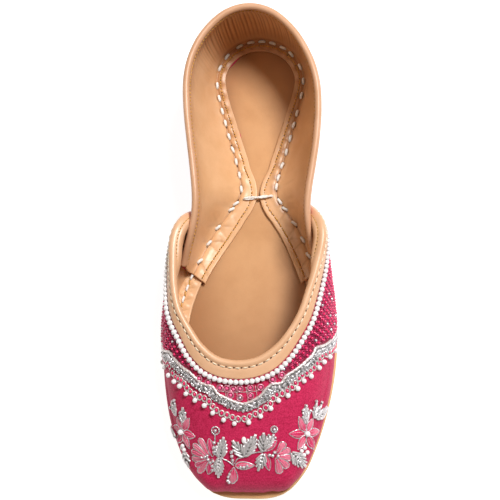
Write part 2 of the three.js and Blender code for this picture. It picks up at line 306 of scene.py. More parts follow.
class Line:
    """A line drawn on a wall. Places beside it are told by mm along it from its middle, mm aside
    towards the foot, and mm of lift."""

    STEP = 0.5

    def __init__(self, wall, edge, down, eased):
        self.wall = wall
        reach = self.reach(wall.at(edge, down))
        count = round(reach[-1] / self.STEP)
        evenly = np.linspace(0, reach[-1], count + 1)
        self.edge, self.down = np.interp(evenly, reach, edge), np.interp(evenly, reach, down)
        points = wall.at(self.edge, self.down)
        aside = unit(np.cross(np.gradient(points, axis=0), wall.outward(self.edge, self.down)))
        one = wall.at(self.edge + 0.5, self.down) - wall.at(self.edge - 0.5, self.down)
        two = wall.at(self.edge, self.down + 0.5) - wall.at(self.edge, self.down - 0.5)
        gram = np.array([[(p * q).sum(-1) for q in (one, two)] for p in (one, two)])
        want = np.stack([(p * aside).sum(-1) for p in (one, two)], -1)
        self.turn = np.linalg.solve(gram.transpose(2, 0, 1), want[..., None])[..., 0]
        steps = round(3 * eased / self.STEP)
        weights = bell(np.arange(-steps, steps + 1) * self.STEP, eased)
        padded = np.pad(self.turn, ((steps, steps), (0, 0)), "edge")
        self.turn = np.column_stack([
            np.convolve(padded[:, k], weights / weights.sum(), "valid") for k in (0, 1)
        ])
        self.span = reach[-1]
        self.marks = evenly - self.span / 2

    @staticmethod
    def reach(points):
        return np.append(0, np.cumsum(np.linalg.norm(np.diff(points, axis=0), axis=1)))

    def spot(self, along, aside):
        """Its place on the wall: mm along the sole's edge, and mm down."""
        edge, down, a, b = (
            np.interp(along, self.marks, column)
            for column in (self.edge, self.down, self.turn[:, 0], self.turn[:, 1])
        )
        return edge + aside * a, down + aside * b

    def beside(self, along, aside, lift=0.0):
        return self.wall.at(*self.spot(along, aside), lift)

    def outward(self, along, aside):
        return self.wall.outward(*self.spot(along, aside))

    def poses(self, along, aside, lift, tilt=0.0):
        """Frames for things that sit along the line: place, forward, sideways and up."""
        along = np.asarray(along, float)
        up = self.outward(along, aside)
        forward = self.beside(along + 0.3, aside) - self.beside(along - 0.3, aside)
        return poses(self.beside(along, aside, lift), forward, up, tilt)


def poses(place, forward, up, tilt=0.0):
    """Frames from a forward direction, which may be turned by the tilt, and an up direction."""
    up = unit(up)
    side = unit(np.cross(up, forward))
    forward = np.cross(side, up)
    turn = np.broadcast_to(np.asarray(tilt, float), side.shape[:-1])[..., None]
    ahead = forward * np.cos(turn) + side * np.sin(turn)
    return place, ahead, np.cross(up, ahead), up


# ---- making meshes ----


def quads(rows, columns, closed=False):
    """Faces of a grid of points. A closed one joins its last column to its first."""
    i, j = np.meshgrid(
        np.arange(rows - 1), np.arange(columns if closed else columns - 1), indexing="ij"
    )
    i, j = i.ravel(), j.ravel()
    k, n = i + 1, (j + 1) % columns
    corners = [i * columns + j, i * columns + n, k * columns + n, k * columns + j]
    return np.column_stack(corners).tolist()


def sheet(grid):
    """A grid of points as points and faces."""
    return grid.reshape(-1, 3), quads(*grid.shape[:2])


def tube(rows, sides):
    """Faces of rings of points joined into a tube, with a face over each end."""
    last = (rows - 1) * sides
    ends = [list(range(sides))[::-1], [last + j for j in range(sides)]]
    return quads(rows, sides, closed=True) + ends


def flat_of(across, down):
    """Places on a flat pattern from its two measures."""
    return np.stack(np.broadcast_arrays(across, down), -1).reshape(-1, 2)


def gathered(parts):
    """Several (points, faces) as one."""
    points, faces, start = [], [], 0
    for some, their_faces in parts:
        points.append(some)
        faces.extend([corner + start for corner in face] for face in their_faces)
        start += len(some)
    return np.vstack(points), faces


def only(obj):
    """Selects one object and nothing else."""
    bpy.ops.object.select_all(action="DESELECT")
    bpy.context.view_layer.objects.active = obj
    obj.select_set(True)


def piece(name, made, finish, slot, flat=None, shade=None):
    """A piece of the shoe from points and faces. flat is its flat pattern, for its finish, and
    shade the painted shade at each point: the depth of its creases and darkening elsewhere."""
    points, faces = made
    mesh = bpy.data.meshes.new(name)
    mesh.from_pydata((points * MM).tolist(), [], faces)
    mesh.shade_smooth()
    mesh.materials.append(finish)
    if flat is not None:
        corners = np.zeros(len(mesh.loops), int)
        mesh.loops.foreach_get("vertex_index", corners)
        mesh.uv_layers.new(name="pattern").data.foreach_set("uv", flat[corners].ravel())
    if shade is not None:
        # the crease attribute carries painted shade for the leather finishes
        mesh.attributes.new("crease", "FLOAT", "POINT").data.foreach_set("value", shade.ravel())
    obj = bpy.data.objects.new(name, mesh)
    bpy.context.scene.collection.objects.link(obj)
    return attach(obj, "root")


def applied(obj, kind, **settings):
    """A modifier with its settings, applied."""
    only(obj)
    modifier = obj.modifiers.new(kind.title(), kind)
    for name, value in settings.items():
        setattr(modifier, name, value)
    bpy.ops.object.modifier_apply(modifier=modifier.name)


def thickened(obj, thick):
    """A sheet given its thickness, behind the side that shows."""
    applied(obj, "SOLIDIFY", thickness=thick * MM, offset=-1, use_even_offset=False)


def turned_out(obj, first, **settings):
    """One step of edit mode on the whole mesh. Then all its faces are turned outwards."""
    only(obj)
    bpy.ops.object.mode_set(mode="EDIT")
    bpy.ops.mesh.select_all(action="SELECT")
    first(**settings)
    bpy.ops.mesh.select_all(action="SELECT")
    bpy.ops.mesh.normals_make_consistent(inside=False)
    bpy.ops.object.mode_set(mode="OBJECT")


def cleaned(obj):
    """Closes seams and poles."""
    turned_out(obj, bpy.ops.mesh.remove_doubles, threshold=0.01 * MM)


def modelled(add, **settings):
    """A small thing modelled once, at a size of about 1: its points and faces."""
    bpy.ops.object.select_all(action="DESELECT")
    add(**settings)
    obj = bpy.context.object
    mesh = obj.data
    points = np.array([vertex.co for vertex in mesh.vertices])
    faces = [list(polygon.vertices) for polygon in mesh.polygons]
    bpy.data.objects.remove(obj)
    bpy.data.meshes.remove(mesh)
    return points, faces


def copies(model, frames, size):
    """Copies of a model at each frame. size is one number for each, or three: forward, sideways
    and up."""
    points, faces = model
    place, ahead, side, up = (np.reshape(part, (-1, 3)) for part in frames)
    size = np.broadcast_to(np.atleast_2d(size), (len(place), 3))
    made = place[:, None] + sum(
        points[None, :, k, None] * size[:, None, k, None] * axis[:, None]
        for k, axis in enumerate((ahead, side, up))
    )
    count = len(points)
    all_faces = [[c + i * count for c in face] for i in range(len(place)) for face in faces]
    return made.reshape(-1, 3), all_faces


def cord(path, up, radius, sides=8, strands=0, pitch=2.0, closed=False):
    """A thread or cord along a path. Its strands, if it has any, twist round it once a pitch."""
    path, up = np.asarray(path, float), np.asarray(up, float)
    round_it = np.roll(path, -1, 0) - np.roll(path, 1, 0)
    ahead = unit(round_it if closed else np.gradient(path, axis=0))
    side = unit(np.cross(ahead, up))
    up = np.cross(side, ahead)
    turns = np.linspace(0, 2 * np.pi, sides, endpoint=False)[None, :]
    radius = np.broadcast_to(np.asarray(radius, float), len(path))[:, None]
    if strands:
        twist = 2 * np.pi * Line.reach(path)[:, None] / pitch
        radius = radius * (0.86 + 0.14 * np.cos(strands * turns - twist))
    radius = np.broadcast_to(radius, (len(path), sides))
    points = (
        path[:, None]
        + (radius * np.cos(turns))[..., None] * up[:, None]
        + (radius * np.sin(turns))[..., None] * side[:, None]
    )
    if not closed:
        return points.reshape(-1, 3), tube(len(path), sides)
    last, ring = (len(path) - 1) * sides, range(sides)
    join = [[last + j, last + (j + 1) % sides, (j + 1) % sides, j] for j in ring]
    return points.reshape(-1, 3), quads(len(path), sides, closed=True) + join


def trough(x, width):
    """A soft trough across x, with a low ridge on each side of it."""
    return (1 - 0.9 * (x / width) ** 2) * bell(x, width)


def creases(rows, x, y):
    """Depth of listed creases, each a soft trough from one place to another."""
    depth = np.zeros(np.broadcast(x, y).shape)
    for x0, y0, x1, y1, deep, width in np.column_stack(list(rows.values())):
        dx, dy = x1 - x0, y1 - y0
        share = ((x - x0) * dx + (y - y0) * dy) / (dx**2 + dy**2)
        near = np.clip(share, 0, 1)
        off = np.hypot(x - x0 - near * dx, y - y0 - near * dy)
        depth += deep * trough(off, width) * (0.35 + 0.65 * np.sin(np.pi * near))
    return depth


def ripple(x, waves):
    """An uneven wave: a sum of a few, each with its length, height and start."""
    return sum(h * np.sin(2 * np.pi * (x / length + start)) for length, h, start in waves)


# ---- finishes ----


class Value:
    """A number that changes over a surface. Sums of such numbers add their own Math nodes."""

    def __init__(self, finish, socket):
        self.finish, self.socket = finish, socket

    def math(self, operation, *terms):
        made = self.finish.node("Math", {"operation": operation}, dict(enumerate(terms)))
        return Value(self.finish, made.outputs[0])

    def __add__(self, other):
        return self.math("ADD", self, other)

    def __sub__(self, other):
        return self.math("SUBTRACT", self, other)

    def __rsub__(self, other):
        return self.math("SUBTRACT", other, self)

    def __mul__(self, other):
        return self.math("MULTIPLY", self, other)

    __radd__, __rmul__ = __add__, __mul__

    def wave(self):
        return self.math("SINE", self)

    def between(self, low, high):
        """0 below low, 1 above high, and smooth from one to the other."""
        made = self.finish.node(
            "MapRange", {"interpolation_type": "SMOOTHSTEP"},
            {"Value": self, "From Min": low, "From Max": high},
        )
        return Value(self.finish, made.outputs[0])


class Finish:
    """A finish under way: its nodes, and the shader that they end in."""

    def __init__(self, name, constants):
        self.material = bpy.data.materials.new(name)
        self.material.use_nodes = True
        self.tree = self.material.node_tree
        self.shader = self.tree.nodes["Principled BSDF"]
        self.set(constants)
        place = self.node("TexCoord").outputs["Object"]
        self.place = self.node(
            "VectorMath", {"operation": "SCALE"}, {0: place, "Scale": 1 / MM}
        ).outputs[0]

    def feed(self, socket, value):
        if isinstance(value, Value):
            value = value.socket
        if isinstance(value, bpy.types.NodeSocket):
            self.tree.links.new(value, socket)
        elif socket.type == "RGBA":
            socket.default_value = (*value, 1)
        else:
            socket.default_value = value

    def node(self, kind, settings=None, inputs=None):
        """A node of the given type, set up first and then fed."""
        made = self.tree.nodes.new("ShaderNode" + kind)
        for name, value in (settings or {}).items():
            setattr(made, name, value)
        for name, value in (inputs or {}).items():
            self.feed(made.inputs[name], value)
        return made

    def set(self, inputs):
        for name, value in inputs.items():
            self.feed(self.shader.inputs[name], value)

    def noise(self, size, detail=2.0, rough=0.5, stretch=(1, 1, 1)):
        """Cloudy unevenness from 0 to 1, with spots of about the given size in mm."""
        place = self.node("Mapping", {}, {"Vector": self.place, "Scale": stretch}).outputs[0]
        made = self.node(
            "TexNoise", {},
            {"Vector": place, "Scale": 1 / size, "Detail": detail, "Roughness": rough},
        )
        return Value(self, made.outputs[0])

    def cells(self, size):
        """Distance to the nearest of many scattered points."""
        made = self.node("TexVoronoi", {}, {"Vector": self.place, "Scale": 1 / size})
        return Value(self, made.outputs["Distance"])

    def pattern(self):
        """The flat pattern's two measures, in mm."""
        layer = self.node("UVMap", {"uv_map": "pattern"}).outputs[0]
        parts = self.node("SeparateXYZ", {}, {0: layer})
        return Value(self, parts.outputs[0]), Value(self, parts.outputs[1])

    def crease(self):
        made = self.node("Attribute", {"attribute_name": "crease"})
        return Value(self, made.outputs["Fac"])

    def mixed(self, share, one, other):
        made = self.node("Mix", {"data_type": "RGBA"}, {0: share, 6: one, 7: other})
        return made.outputs[2]

    def bump(self, height):
        """Unevenness of the surface, in mm."""
        made = self.node("Bump", {}, {"Strength": 1.0, "Distance": MM, "Height": height})
        self.set({"Normal": made.outputs[0]})


def leather(name, pale, deep, rough, coat, grain=0.008, paints_crease_shade=True):
    """Tan leather: cloudy colour, fine pores and grain, and painted shade: darker where its crease
    attribute marks creases and other shaded places.
    """
    finish = Finish(name, {"Coat Weight": coat, "Coat Roughness": 0.35})
    clouds = finish.noise(16, 3, 0.55)
    fine = finish.noise(0.9, 3, 0.6)
    pores = finish.cells(0.42)
    colour = finish.mixed((clouds - 0.5) * 1.6 + fine * 0.35 + 0.2, pale, deep)
    if paints_crease_shade:
        # painted shade: the crease attribute mixes the colour towards a deep brown
        dark = finish.crease().between(0.04, 0.5)
        painted_dark = tuple(channel * share for channel, share in zip(deep, (0.55, 0.42, 0.3)))
        colour = finish.mixed(dark * 0.75, colour, painted_dark)
    finish.set({"Base Color": colour, "Roughness": clouds * 0.14 + fine * 0.1 + (rough - 0.1)})
    finish.bump(fine * grain * 1.6 + pores.between(0.0, 0.35) * grain + clouds * 0.05)
    return finish.material


def silk_cloth(name, bright, deep):
    """Plain-weave silk with slubs: fine crossed threads and a soft mottle."""
    finish = Finish(
        name,
        {"Sheen Weight": 0.02, "Sheen Roughness": 0.4, "Sheen Tint": (1.0, 0.3, 0.5),
         "Specular IOR Level": 0.22},
    )
    across, down = finish.pattern()
    warp, weft = (across * 11.0).wave(), (down * 11.0).wave()
    mottle = finish.noise(0.7, 3, 0.6)
    slubs = finish.noise(1.6, 2, 0.5, stretch=(0.35, 1.0, 1.0))
    clouds = finish.noise(22, 2, 0.5)
    share = (mottle - 0.5) * 2.6 + (slubs - 0.5) * 0.8 + clouds * 0.5 + warp * weft * 0.06 + 0.2
    finish.set({
        "Base Color": finish.mixed(share, bright, deep),
        "Roughness": mottle * 0.2 + 0.5,
    })
    finish.bump(warp * weft * 0.012 + mottle * 0.05 + slubs * 0.03)
    return finish.material


def satin_stitch(name, base, tip):
    """Silk floss laid side by side: streaks that follow the stitches, shaded along the petal."""
    finish = Finish(name, {"Sheen Weight": 0.2, "Sheen Roughness": 0.3, "Coat Weight": 0.1})
    along, across = finish.pattern()
    streaks = (across * 14.0 + (finish.noise(1.1) - 0.5) * 4.0).wave()
    shade = along.between(0.1, 0.8) + streaks * 0.3 + (finish.noise(2.0) - 0.5) * 1.5
    finish.set({"Base Color": finish.mixed(shade, base, tip), "Roughness": 0.42})
    finish.bump((across * 30.0).wave() * 0.03 + streaks * 0.05)
    return finish.material


def thread(name, pale, deep, rough=0.6):
    """Twisted thread: a faint mottle of lights and darks and a fibrous surface."""
    finish = Finish(name, {"Sheen Weight": 0.1, "Sheen Roughness": 0.5})
    fibres = finish.noise(0.5, 3, 0.65)
    finish.set({
        "Base Color": finish.mixed((fibres - 0.5) * 2.2 + 0.45, pale, deep),
        "Roughness": fibres * 0.2 + (rough - 0.1),
    })
    finish.bump(fibres * 0.05)
    return finish.material


def silver_wire(name, pale, dark, rough=0.28):
    """Silver wire and foil beads, tarnished here and there."""
    finish = Finish(name, {})
    spots = finish.noise(1.1, 3, 0.7)
    fine = finish.noise(0.3, 2, 0.6)
    dull = ((spots - 0.5) * 3.2 + (fine - 0.5) * 1.6 + 0.35).between(0.0, 1.0)
    finish.set({
        "Base Color": finish.mixed(dull, pale, dark),
        "Metallic": 0.7 - dull * 0.2,
        "Roughness": dull * 0.2 + rough,
    })
    finish.bump(fine * 0.05)
    return finish.material


def glossy_bead(name, pale, deep):
    """A glossy bead: cloudy nacre or glass under a clear coat, with painted shade that deepens its
    colour towards its outline as the camera sees it.
    """
    finish = Finish(name, {"Coat Weight": 0.6, "Coat Roughness": 0.08})
    clouds = finish.noise(1.3, 2, 0.5)
    # painted shade: deeper colour towards the outline, from Layer Weight's Facing
    outline_shade = Value(finish, finish.node("LayerWeight", {}, {"Blend": 0.35}).outputs["Facing"])
    finish.set({
        "Base Color": finish.mixed((clouds - 0.5) * 1.4 + outline_shade * 0.5 + 0.1, pale, deep),
        "Roughness": clouds * 0.12 + 0.18,
    })
    finish.bump(finish.noise(0.8) * 0.02)
    return finish.material


def sole_edge_leather(name, pale, deep):
    """Thick sole leather: pressed layers show at its edge, and its grain is coarse."""
    finish = Finish(name, {"Coat Weight": 0.05, "Coat Roughness": 0.5})
    layers = finish.noise(1.4, 3, 0.6, stretch=(0.1, 0.1, 2.0))
    clouds = finish.noise(14, 3, 0.6)
    grain = finish.noise(0.6, 3, 0.7)
    share = (layers - 0.5) * 0.3 + (clouds - 0.5) * 0.35 + grain * 0.3 + 0.15
    finish.set({"Base Color": finish.mixed(share, pale, deep), "Roughness": grain * 0.2 + 0.5})
    finish.bump(grain * 0.012)
    return finish.material


TAN = leather("lining_leather", (0.79, 0.485, 0.265), (0.64, 0.345, 0.155), 0.4, 0.2, 0.012)
INSOLE_TAN = leather("insole_leather", (0.61, 0.325, 0.14), (0.49, 0.235, 0.08), 0.42, 0.2, 0.006)
BINDING_TAN = leather(
    "binding_leather", (0.77, 0.46, 0.275), (0.63, 0.34, 0.17), 0.38, 0.3, paints_crease_shade=False
)
RIM_TAN = leather(
    "rim_leather", (0.68, 0.385, 0.235), (0.55, 0.285, 0.14), 0.42, 0.15, paints_crease_shade=False
)
SOLE_TAN = sole_edge_leather("sole_leather", (0.78, 0.48, 0.21), (0.50, 0.25, 0.09))
SILK = silk_cloth("magenta_silk", (0.63, 0.026, 0.108), (0.37, 0.006, 0.047))
PEARL = glossy_bead("pearl", (0.90, 0.89, 0.90), (0.66, 0.65, 0.67))
SILVER = silver_wire("silver_wire", (0.89, 0.87, 0.90), (0.24, 0.22, 0.23))
WHITE_CORD = silver_wire("white_metal_cord", (0.93, 0.88, 0.86), (0.52, 0.42, 0.42), 0.4)
PINK_BEAD = glossy_bead("magenta_bead", (0.85, 0.02, 0.14), (0.50, 0.005, 0.07))
ROSE_WIRE = silver_wire("rose_wire", (0.66, 0.07, 0.19), (0.22, 0.004, 0.045), 0.36)
ROSE_BEAD = glossy_bead("rose_bead", (0.90, 0.13, 0.32), (0.62, 0.015, 0.12))
PETAL_PINK = satin_stitch("petal_floss", (0.80, 0.014, 0.13), (0.93, 0.24, 0.36))
PETAL_HOT = satin_stitch("calyx_floss", (0.70, 0.006, 0.08), (0.88, 0.03, 0.18))
PALE_WIRE = silver_wire("pale_rose_wire", (0.88, 0.46, 0.56), (0.55, 0.07, 0.18), 0.3)
LEAF_WIRE = silver_wire("leaf_wire", (0.91, 0.88, 0.90), (0.45, 0.42, 0.43), 0.38)
VEIN = thread("vein_floss", (0.86, 0.46, 0.54), (0.70, 0.16, 0.28))
# painted shade: a dark magenta sheet under the net darkens the gaps between its rings
NET_SHADE = thread("net_shade_sheet", (0.34, 0.008, 0.05), (0.16, 0.003, 0.02), 0.7)
# painted shade: a dark grey sheet under the silver band and leaves darkens the gaps between their
# pieces
BAND_SHADE = thread("band_shade_sheet", (0.26, 0.25, 0.24), (0.07, 0.07, 0.065), 0.6)
WHITE_THREAD = thread("white_thread", (0.92, 0.91, 0.88), (0.70, 0.68, 0.63))
CREAM_THREAD = thread("cream_thread", (0.90, 0.82, 0.66), (0.66, 0.52, 0.33))
OCHRE_THREAD = thread("ochre_thread", (0.68, 0.36, 0.07), (0.44, 0.20, 0.03))
# painted shade: near-black discs stand for the shade inside needle holes
HOLE_SHADE = thread("needle_hole_shade", (0.075, 0.028, 0.012), (0.03, 0.012, 0.006), 0.8)


# ---- small things, modelled once ----

def ball(segments, rings):
    return modelled(
        bpy.ops.mesh.primitive_uv_sphere_add, segments=segments, ring_count=rings, radius=1
    )


BEAD, PEARL_BEAD, DISC = ball(8, 5), ball(12, 7), ball(8, 4)
RING = modelled(
    bpy.ops.mesh.primitive_torus_add,
    major_segments=12, minor_segments=4, major_radius=1, minor_radius=0.3,
)


def upright(count):
    return np.tile([0.0, 0, 1], (count, 1))


def coil_model():
    """A length of coiled wire along its forward axis, half a unit each way."""
    places = np.linspace(-0.5, 0.5, 11)
    radii = np.where(np.arange(11) % 2, 1.0, 0.86)
    radii[[0, -1]] = 0.6
    return cord(places[:, None] * (1, 0, 0), upright(11), radii, sides=6)


def hand_stitch(length, radius, sunk, steps=9, sides=8):
    """A stitch that comes up out of the leather and dives back into it, lying forward."""
    t = np.linspace(-1, 1, steps)
    rise = radius * 0.9 - (radius * 1.1 + sunk) * np.abs(t) ** 4
    path = np.column_stack([t * length / 2, np.zeros(steps), rise])
    return cord(path, upright(steps), radius * (1 - 0.25 * t**6), sides)


COIL = coil_model()


# ---- the sole and the insole ----


STATIONS = 150  # steps down one side of the outline
ROWS_APART = 1.1  # rows across keep this far apart, also where the ends are nearly flat
INSOLE_STRIPS = 20


def slab(inset, under_of, thick, strips=16):
    """The top of a flat piece of the sole, in strips from one side of the outline to the other."""
    edges = HALF_ROUND * np.arange(STATIONS + 1) / STATIONS
    side = edge_point(edges, inset)[0]
    side[[0, -1], 0] = 0
    rows = [0]
    for row in range(STATIONS):
        if min(side[row, 1] - side[rows[-1], 1], side[-1, 1] - side[row, 1]) > ROWS_APART:
            rows.append(row)
    rows = rows[1:]
    share = np.linspace(-1, 1, strips + 1)
    points = np.zeros((len(rows), strips + 1, 3))
    points[..., 0] = side[rows, :1] * share
    points[..., 1] = side[rows, 1:]
    toe, heel = side[: rows[0] + 1], side[: rows[-1] - 1 : -1]
    points[0, :, 1] = np.interp(abs(points[0, :, 0]), toe[:, 0], toe[:, 1])
    points[-1, :, 1] = np.interp(abs(points[-1, :, 0]), heel[:, 0], heel[:, 1])
    points[..., 2] = under_of(points[..., 1]) + thick
    return sheet(curved(points))


def sole_piece(name, made, finish, slot, thick, edge, node, shade=None):
    obj = piece(name, made, finish, slot, shade=shade)
    cleaned(obj)
    down = {"value": (0, 0, -thick * MM)}
    turned_out(obj, bpy.ops.mesh.extrude_region_move, TRANSFORM_OT_translate=down)
    applied(
        obj, "BEVEL", width=edge * MM, segments=3, limit_method="ANGLE",
        angle_limit=math.radians(50), use_clamp_overlap=False,
    )
    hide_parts(node)


def insole_under(along):
    return sole_top(along) + GAP


def insole_painted_shade(board):
    """Painted shade on the insole: darker along its sides, under the toes and under the heel."""
    along = board[0][:, 1]
    sideways = np.abs(np.linspace(-1, 1, INSOLE_STRIPS + 1))
    shade = 0.04 + 0.34 * np.tile(sideways**2.4, len(along) // len(sideways))
    return shade + 0.26 * np.clip((5 - along) / 55, 0, 1) + 0.3 * np.clip((along - 72) / 40, 0, 1)


SOLE = slab(0, sole_under, SOLE_THICK)
sole_piece("sole", SOLE, SOLE_TAN, "sole_leather", SOLE_THICK, 0.55, "outsole")
INSOLE = slab(INSOLE_INSET, insole_under, INSOLE_THICK, INSOLE_STRIPS)
sole_piece(
    "insole_board", INSOLE, INSOLE_TAN, "insole_leather", INSOLE_THICK, 0.4, "insole",
    insole_painted_shade(INSOLE),
)


# ---- the vamp: silk outside, leather inside ----

WING_END = 173.0
WING_TALLER = 4.5  # the wing on the big toe's side reaches this much further back
WING_ROUND = 6.0  # radius of the wing's top corner


def wing_share(edge):
    """0 at the front of the collar and 1 on its wings, where its fold is broad and soft."""
    return smooth((np.abs(edge) - 108) / 32)


def tree_of(grid):
    points, faces = sheet(grid)
    return BVHTree.FromPolygons(points.tolist(), faces)


QUARTER_TREE = tree_of(QUARTER.skin)
FAR = 99.0  # further than anything on the shoe


def room(edges, downs):
    """How far the quarter is behind the vamp's outer face."""
    edges, downs = np.broadcast_arrays(edges, downs)
    places, outward = VAMP.at(edges, downs), VAMP.outward(edges, downs)
    found = np.full(edges.shape, FAR)
    for spot in np.argwhere(np.abs(edges) > 95):
        spot = tuple(spot)
        hit = QUARTER_TREE.ray_cast(Vector(places[spot]), Vector(-outward[spot]), 30)
        if hit[0] is not None:
            found[spot] = hit[3]
    return found


def wing_top(edges, start):
    """How far down from the rim a skin of the vamp starts, with its corner rounded off."""
    end = WING_END + np.where(edges > 0, WING_TALLER, 0)
    over = np.clip(np.abs(edges) - (end - WING_ROUND), 0, WING_ROUND)
    return start + WING_ROUND - np.sqrt(WING_ROUND**2 - over**2)


def silk_puckers(edges, downs, lengths):
    """The silk is gathered where it is lasted over the sole, most of all round the toe."""
    to_foot = np.clip(1 - (lengths - downs) / 9.0, 0, 1) ** 2
    round_toe = bell(edges, 78, 4) * 0.8 + 0.2
    waves = ripple(edges, [(7.3, 0.22, 0.1), (4.1, 0.13, 0.4), (11.9, 0.2, 0.7)])
    drape = ripple(edges + downs * 0.3, [(46, 0.14, 0.2), (29, 0.09, 0.6)])
    return waves * to_foot * round_toe + drape * np.sin(np.pi * downs / lengths) ** 2


def toe_tuck(edges, downs, lengths):
    """At the toe's tip the upper is drawn in, so that the sole's edge stands out in front; at the
    corners beside it the silk bellies out over the sole."""
    low = np.clip(1 - (lengths - downs) / 15.0, 0, 1)
    front = bell(edges - 1, 17, 6)
    belly = np.where(edges < 4, 1.6, 1.0) * bell(edges, 85, 4) * (1 - front)
    return 2.4 * front * low**1.5 - belly * np.sin(np.pi * low**0.75) ** 0.8


def vamp_silk():
    edges = np.linspace(-WING_END, WING_END + WING_TALLER, 300)[:, None]
    lengths = VAMP.length(edges)
    tops = wing_top(edges, 1.2)
    share = np.linspace(0, 1, 64)
    downs = tops + (lengths + 0.7 - tops) * share
    tuck = np.clip(1 - (lengths + 0.7 - downs) / 1.6, 0, 1) ** 2
    lift = silk_puckers(edges, downs, lengths) - 0.8 * tuck - toe_tuck(edges, downs, lengths)
    points = VAMP.at(edges, downs, lift)
    obj = piece("vamp_silk", sheet(points), SILK, "silk", flat_of(edges, downs))
    thickened(obj, SKIN)
    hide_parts("vamp")
    return points


def inner_foot(wall, edges, heights):
    """How far down a wall's inner face stands at a height above the sole's top."""
    found = []
    for edge, height in zip(edges, np.broadcast_to(heights, len(edges))):
        downs = np.linspace(0.4, 1.0, 160) * wall.length(edge)
        face = wall.at(edge, downs, -WALL)
        over = face[:, 2] - sole_top(face[:, 1]) - height
        found.append(downs[np.argmin(np.abs(over))])
    return np.array(found)


def margin_line(edges, inset, up):
    """The inner edge of a margin that is turned in over the insole."""
    point = edge_point(edges, inset)[0]
    return curved(np.column_stack([point, sole_top(point[:, 1]) + up]))


LINING_CREASES = table(
    "x0 y0 x1 y1 deep width",
    (-166, 8, -163, 34, 0.35, 1.0), (-161, 7, -159, 30, 0.30, 0.9),
    (-155, 9, -154, 28, 0.25, 1.0), (166, 8, 163, 34, 0.35, 1.0),
    (160, 7, 159, 32, 0.35, 0.9), (155, 8, 152, 30, 0.28, 0.9), (149, 9, 148, 28, 0.25, 1.1),
    (143, 10, 142, 30, 0.2, 1.0), (-148, 10, -146, 30, 0.2, 1.0), (120, 9, 119, 26, 0.12, 1.2),
)


def lining_face():
    """The vamp's leather lining, with the creases of its wings."""
    edges = np.linspace(0.3 - WING_END, WING_END + WING_TALLER - 0.3, 290)[:, None]
    lengths = VAMP.length(edges)
    tops = wing_top(edges, 2.6)
    downs = tops + (lengths - tops) * np.linspace(0, 1, 44)
    depth = creases(LINING_CREASES, edges, downs)
    fold = 4.3 * wing_share(edges) * bell(np.maximum(downs - 5, 0), 9)
    fold = np.clip(fold, 0, np.maximum(room(edges, downs) - WALL - 1.6, 0))
    for _ in range(6):
        fold[1:-1] = np.minimum(fold[1:-1], (fold[:-2] + 2 * fold[1:-1] + fold[2:]) / 4)
    lift = -WALL - fold + depth + ripple(edges, [(31, 0.08, 0.3), (17, 0.05, 0.8)])
    lift = lift - np.maximum(toe_tuck(edges, downs, lengths), 0)
    points = VAMP.at(edges, downs, lift)[::-1]
    # painted shade: the lining is darker in its creases
    shade = np.clip(depth[::-1], 0, 1)
    obj = piece("vamp_lining", sheet(points), TAN, "lining_leather", shade=shade)
    thickened(obj, SKIN)


VAMP_SEAM = 3.6  # the margin's stitches, in from the corner
VAMP_PITCH = 6.6
VAMP_FIRST = -139.0
VAMP_STITCHES = np.append(np.arange(VAMP_FIRST, -60, VAMP_PITCH), np.arange(61, 141, VAMP_PITCH))
VAMP_TOP = MARGIN_UP + MARGIN_THICK  # the margin's top, above the sole's


def vamp_margin():
    """The vamp's margin turned in over the insole, puffed between its stitches."""
    edges = np.linspace(-VAMP_MARGIN_END - 8, VAMP_MARGIN_END + 8, 420)
    fade = np.clip((VAMP_MARGIN_END + 8 - np.abs(edges)) / 8, 0, 1) ** 0.5
    corner = inner_foot(VAMP, edges, VAMP_TOP)
    drawn_in = np.maximum(toe_tuck(edges, corner, VAMP.length(edges)), 0)
    outer = VAMP.at(edges, corner, 0.4 - WALL - drawn_in)
    inner = margin_line(edges, blend(6, VAMP_MARGIN_INSET, fade), VAMP_TOP)
    share = np.linspace(0, 1, 14)[:, None]
    strip = blend(outer[:, None], inner[:, None], share)
    away = share[:, 0][None] * np.linalg.norm(inner - outer, axis=1)[:, None]
    between = np.sin(np.pi * (edges - VAMP_FIRST) / VAMP_PITCH)[:, None] ** 2
    puff = 0.45 * bell(away - VAMP_SEAM - 2.2, 1.8) + 0.4 * bell(away - VAMP_SEAM + 2.2, 1.6)
    pulled = [
        (place, VAMP_SEAM, place + reach, VAMP_SEAM + way, 0.28, 0.8)
        for place in VAMP_STITCHES
        for reach, way in ((2.2, 4.5), (-1.6, 4.0), (1.8, -3.2), (-2.2, -3.0))
    ]
    pinch = creases(
        table("x0 y0 x1 y1 deep width", (-160, VAMP_SEAM, 160, VAMP_SEAM, 0.3, 0.8), *pulled),
        edges[:, None], away,
    )
    strip[..., 2] += puff * between - pinch
    lip = inner.copy()
    lip[:, 2] -= 0.9
    strip = np.concatenate([strip, lip[:, None]], axis=1)
    # painted shade: the margin is darker where it is pinched at its stitches
    shade = np.clip(np.column_stack([pinch, np.zeros(len(edges))]), 0, 1)
    obj = piece("vamp_margin", sheet(strip[:, ::-1]), TAN, "lining_leather", shade=shade[:, ::-1])
    thickened(obj, SKIN)


SILK_SKIN = vamp_silk()
lining_face()
vamp_margin()


# ---- bindings: leather rolled over the rims ----


def half_collar(end):
    """Half of the vamp's edge: up its back end, round the corner and along the rim."""
    turn = np.linspace(0, np.pi / 2, 12)
    corner = end - WING_ROUND
    edge = [np.full(40, end), corner + WING_ROUND * np.cos(turn), np.linspace(corner, 0, 200)[1:]]
    up = np.linspace(VAMP.length(end) + 0.2, WING_ROUND, 41)[:-1]
    down = [up, WING_ROUND - WING_ROUND * np.sin(turn), np.zeros(199)]
    return np.concatenate(edge), np.concatenate(down)


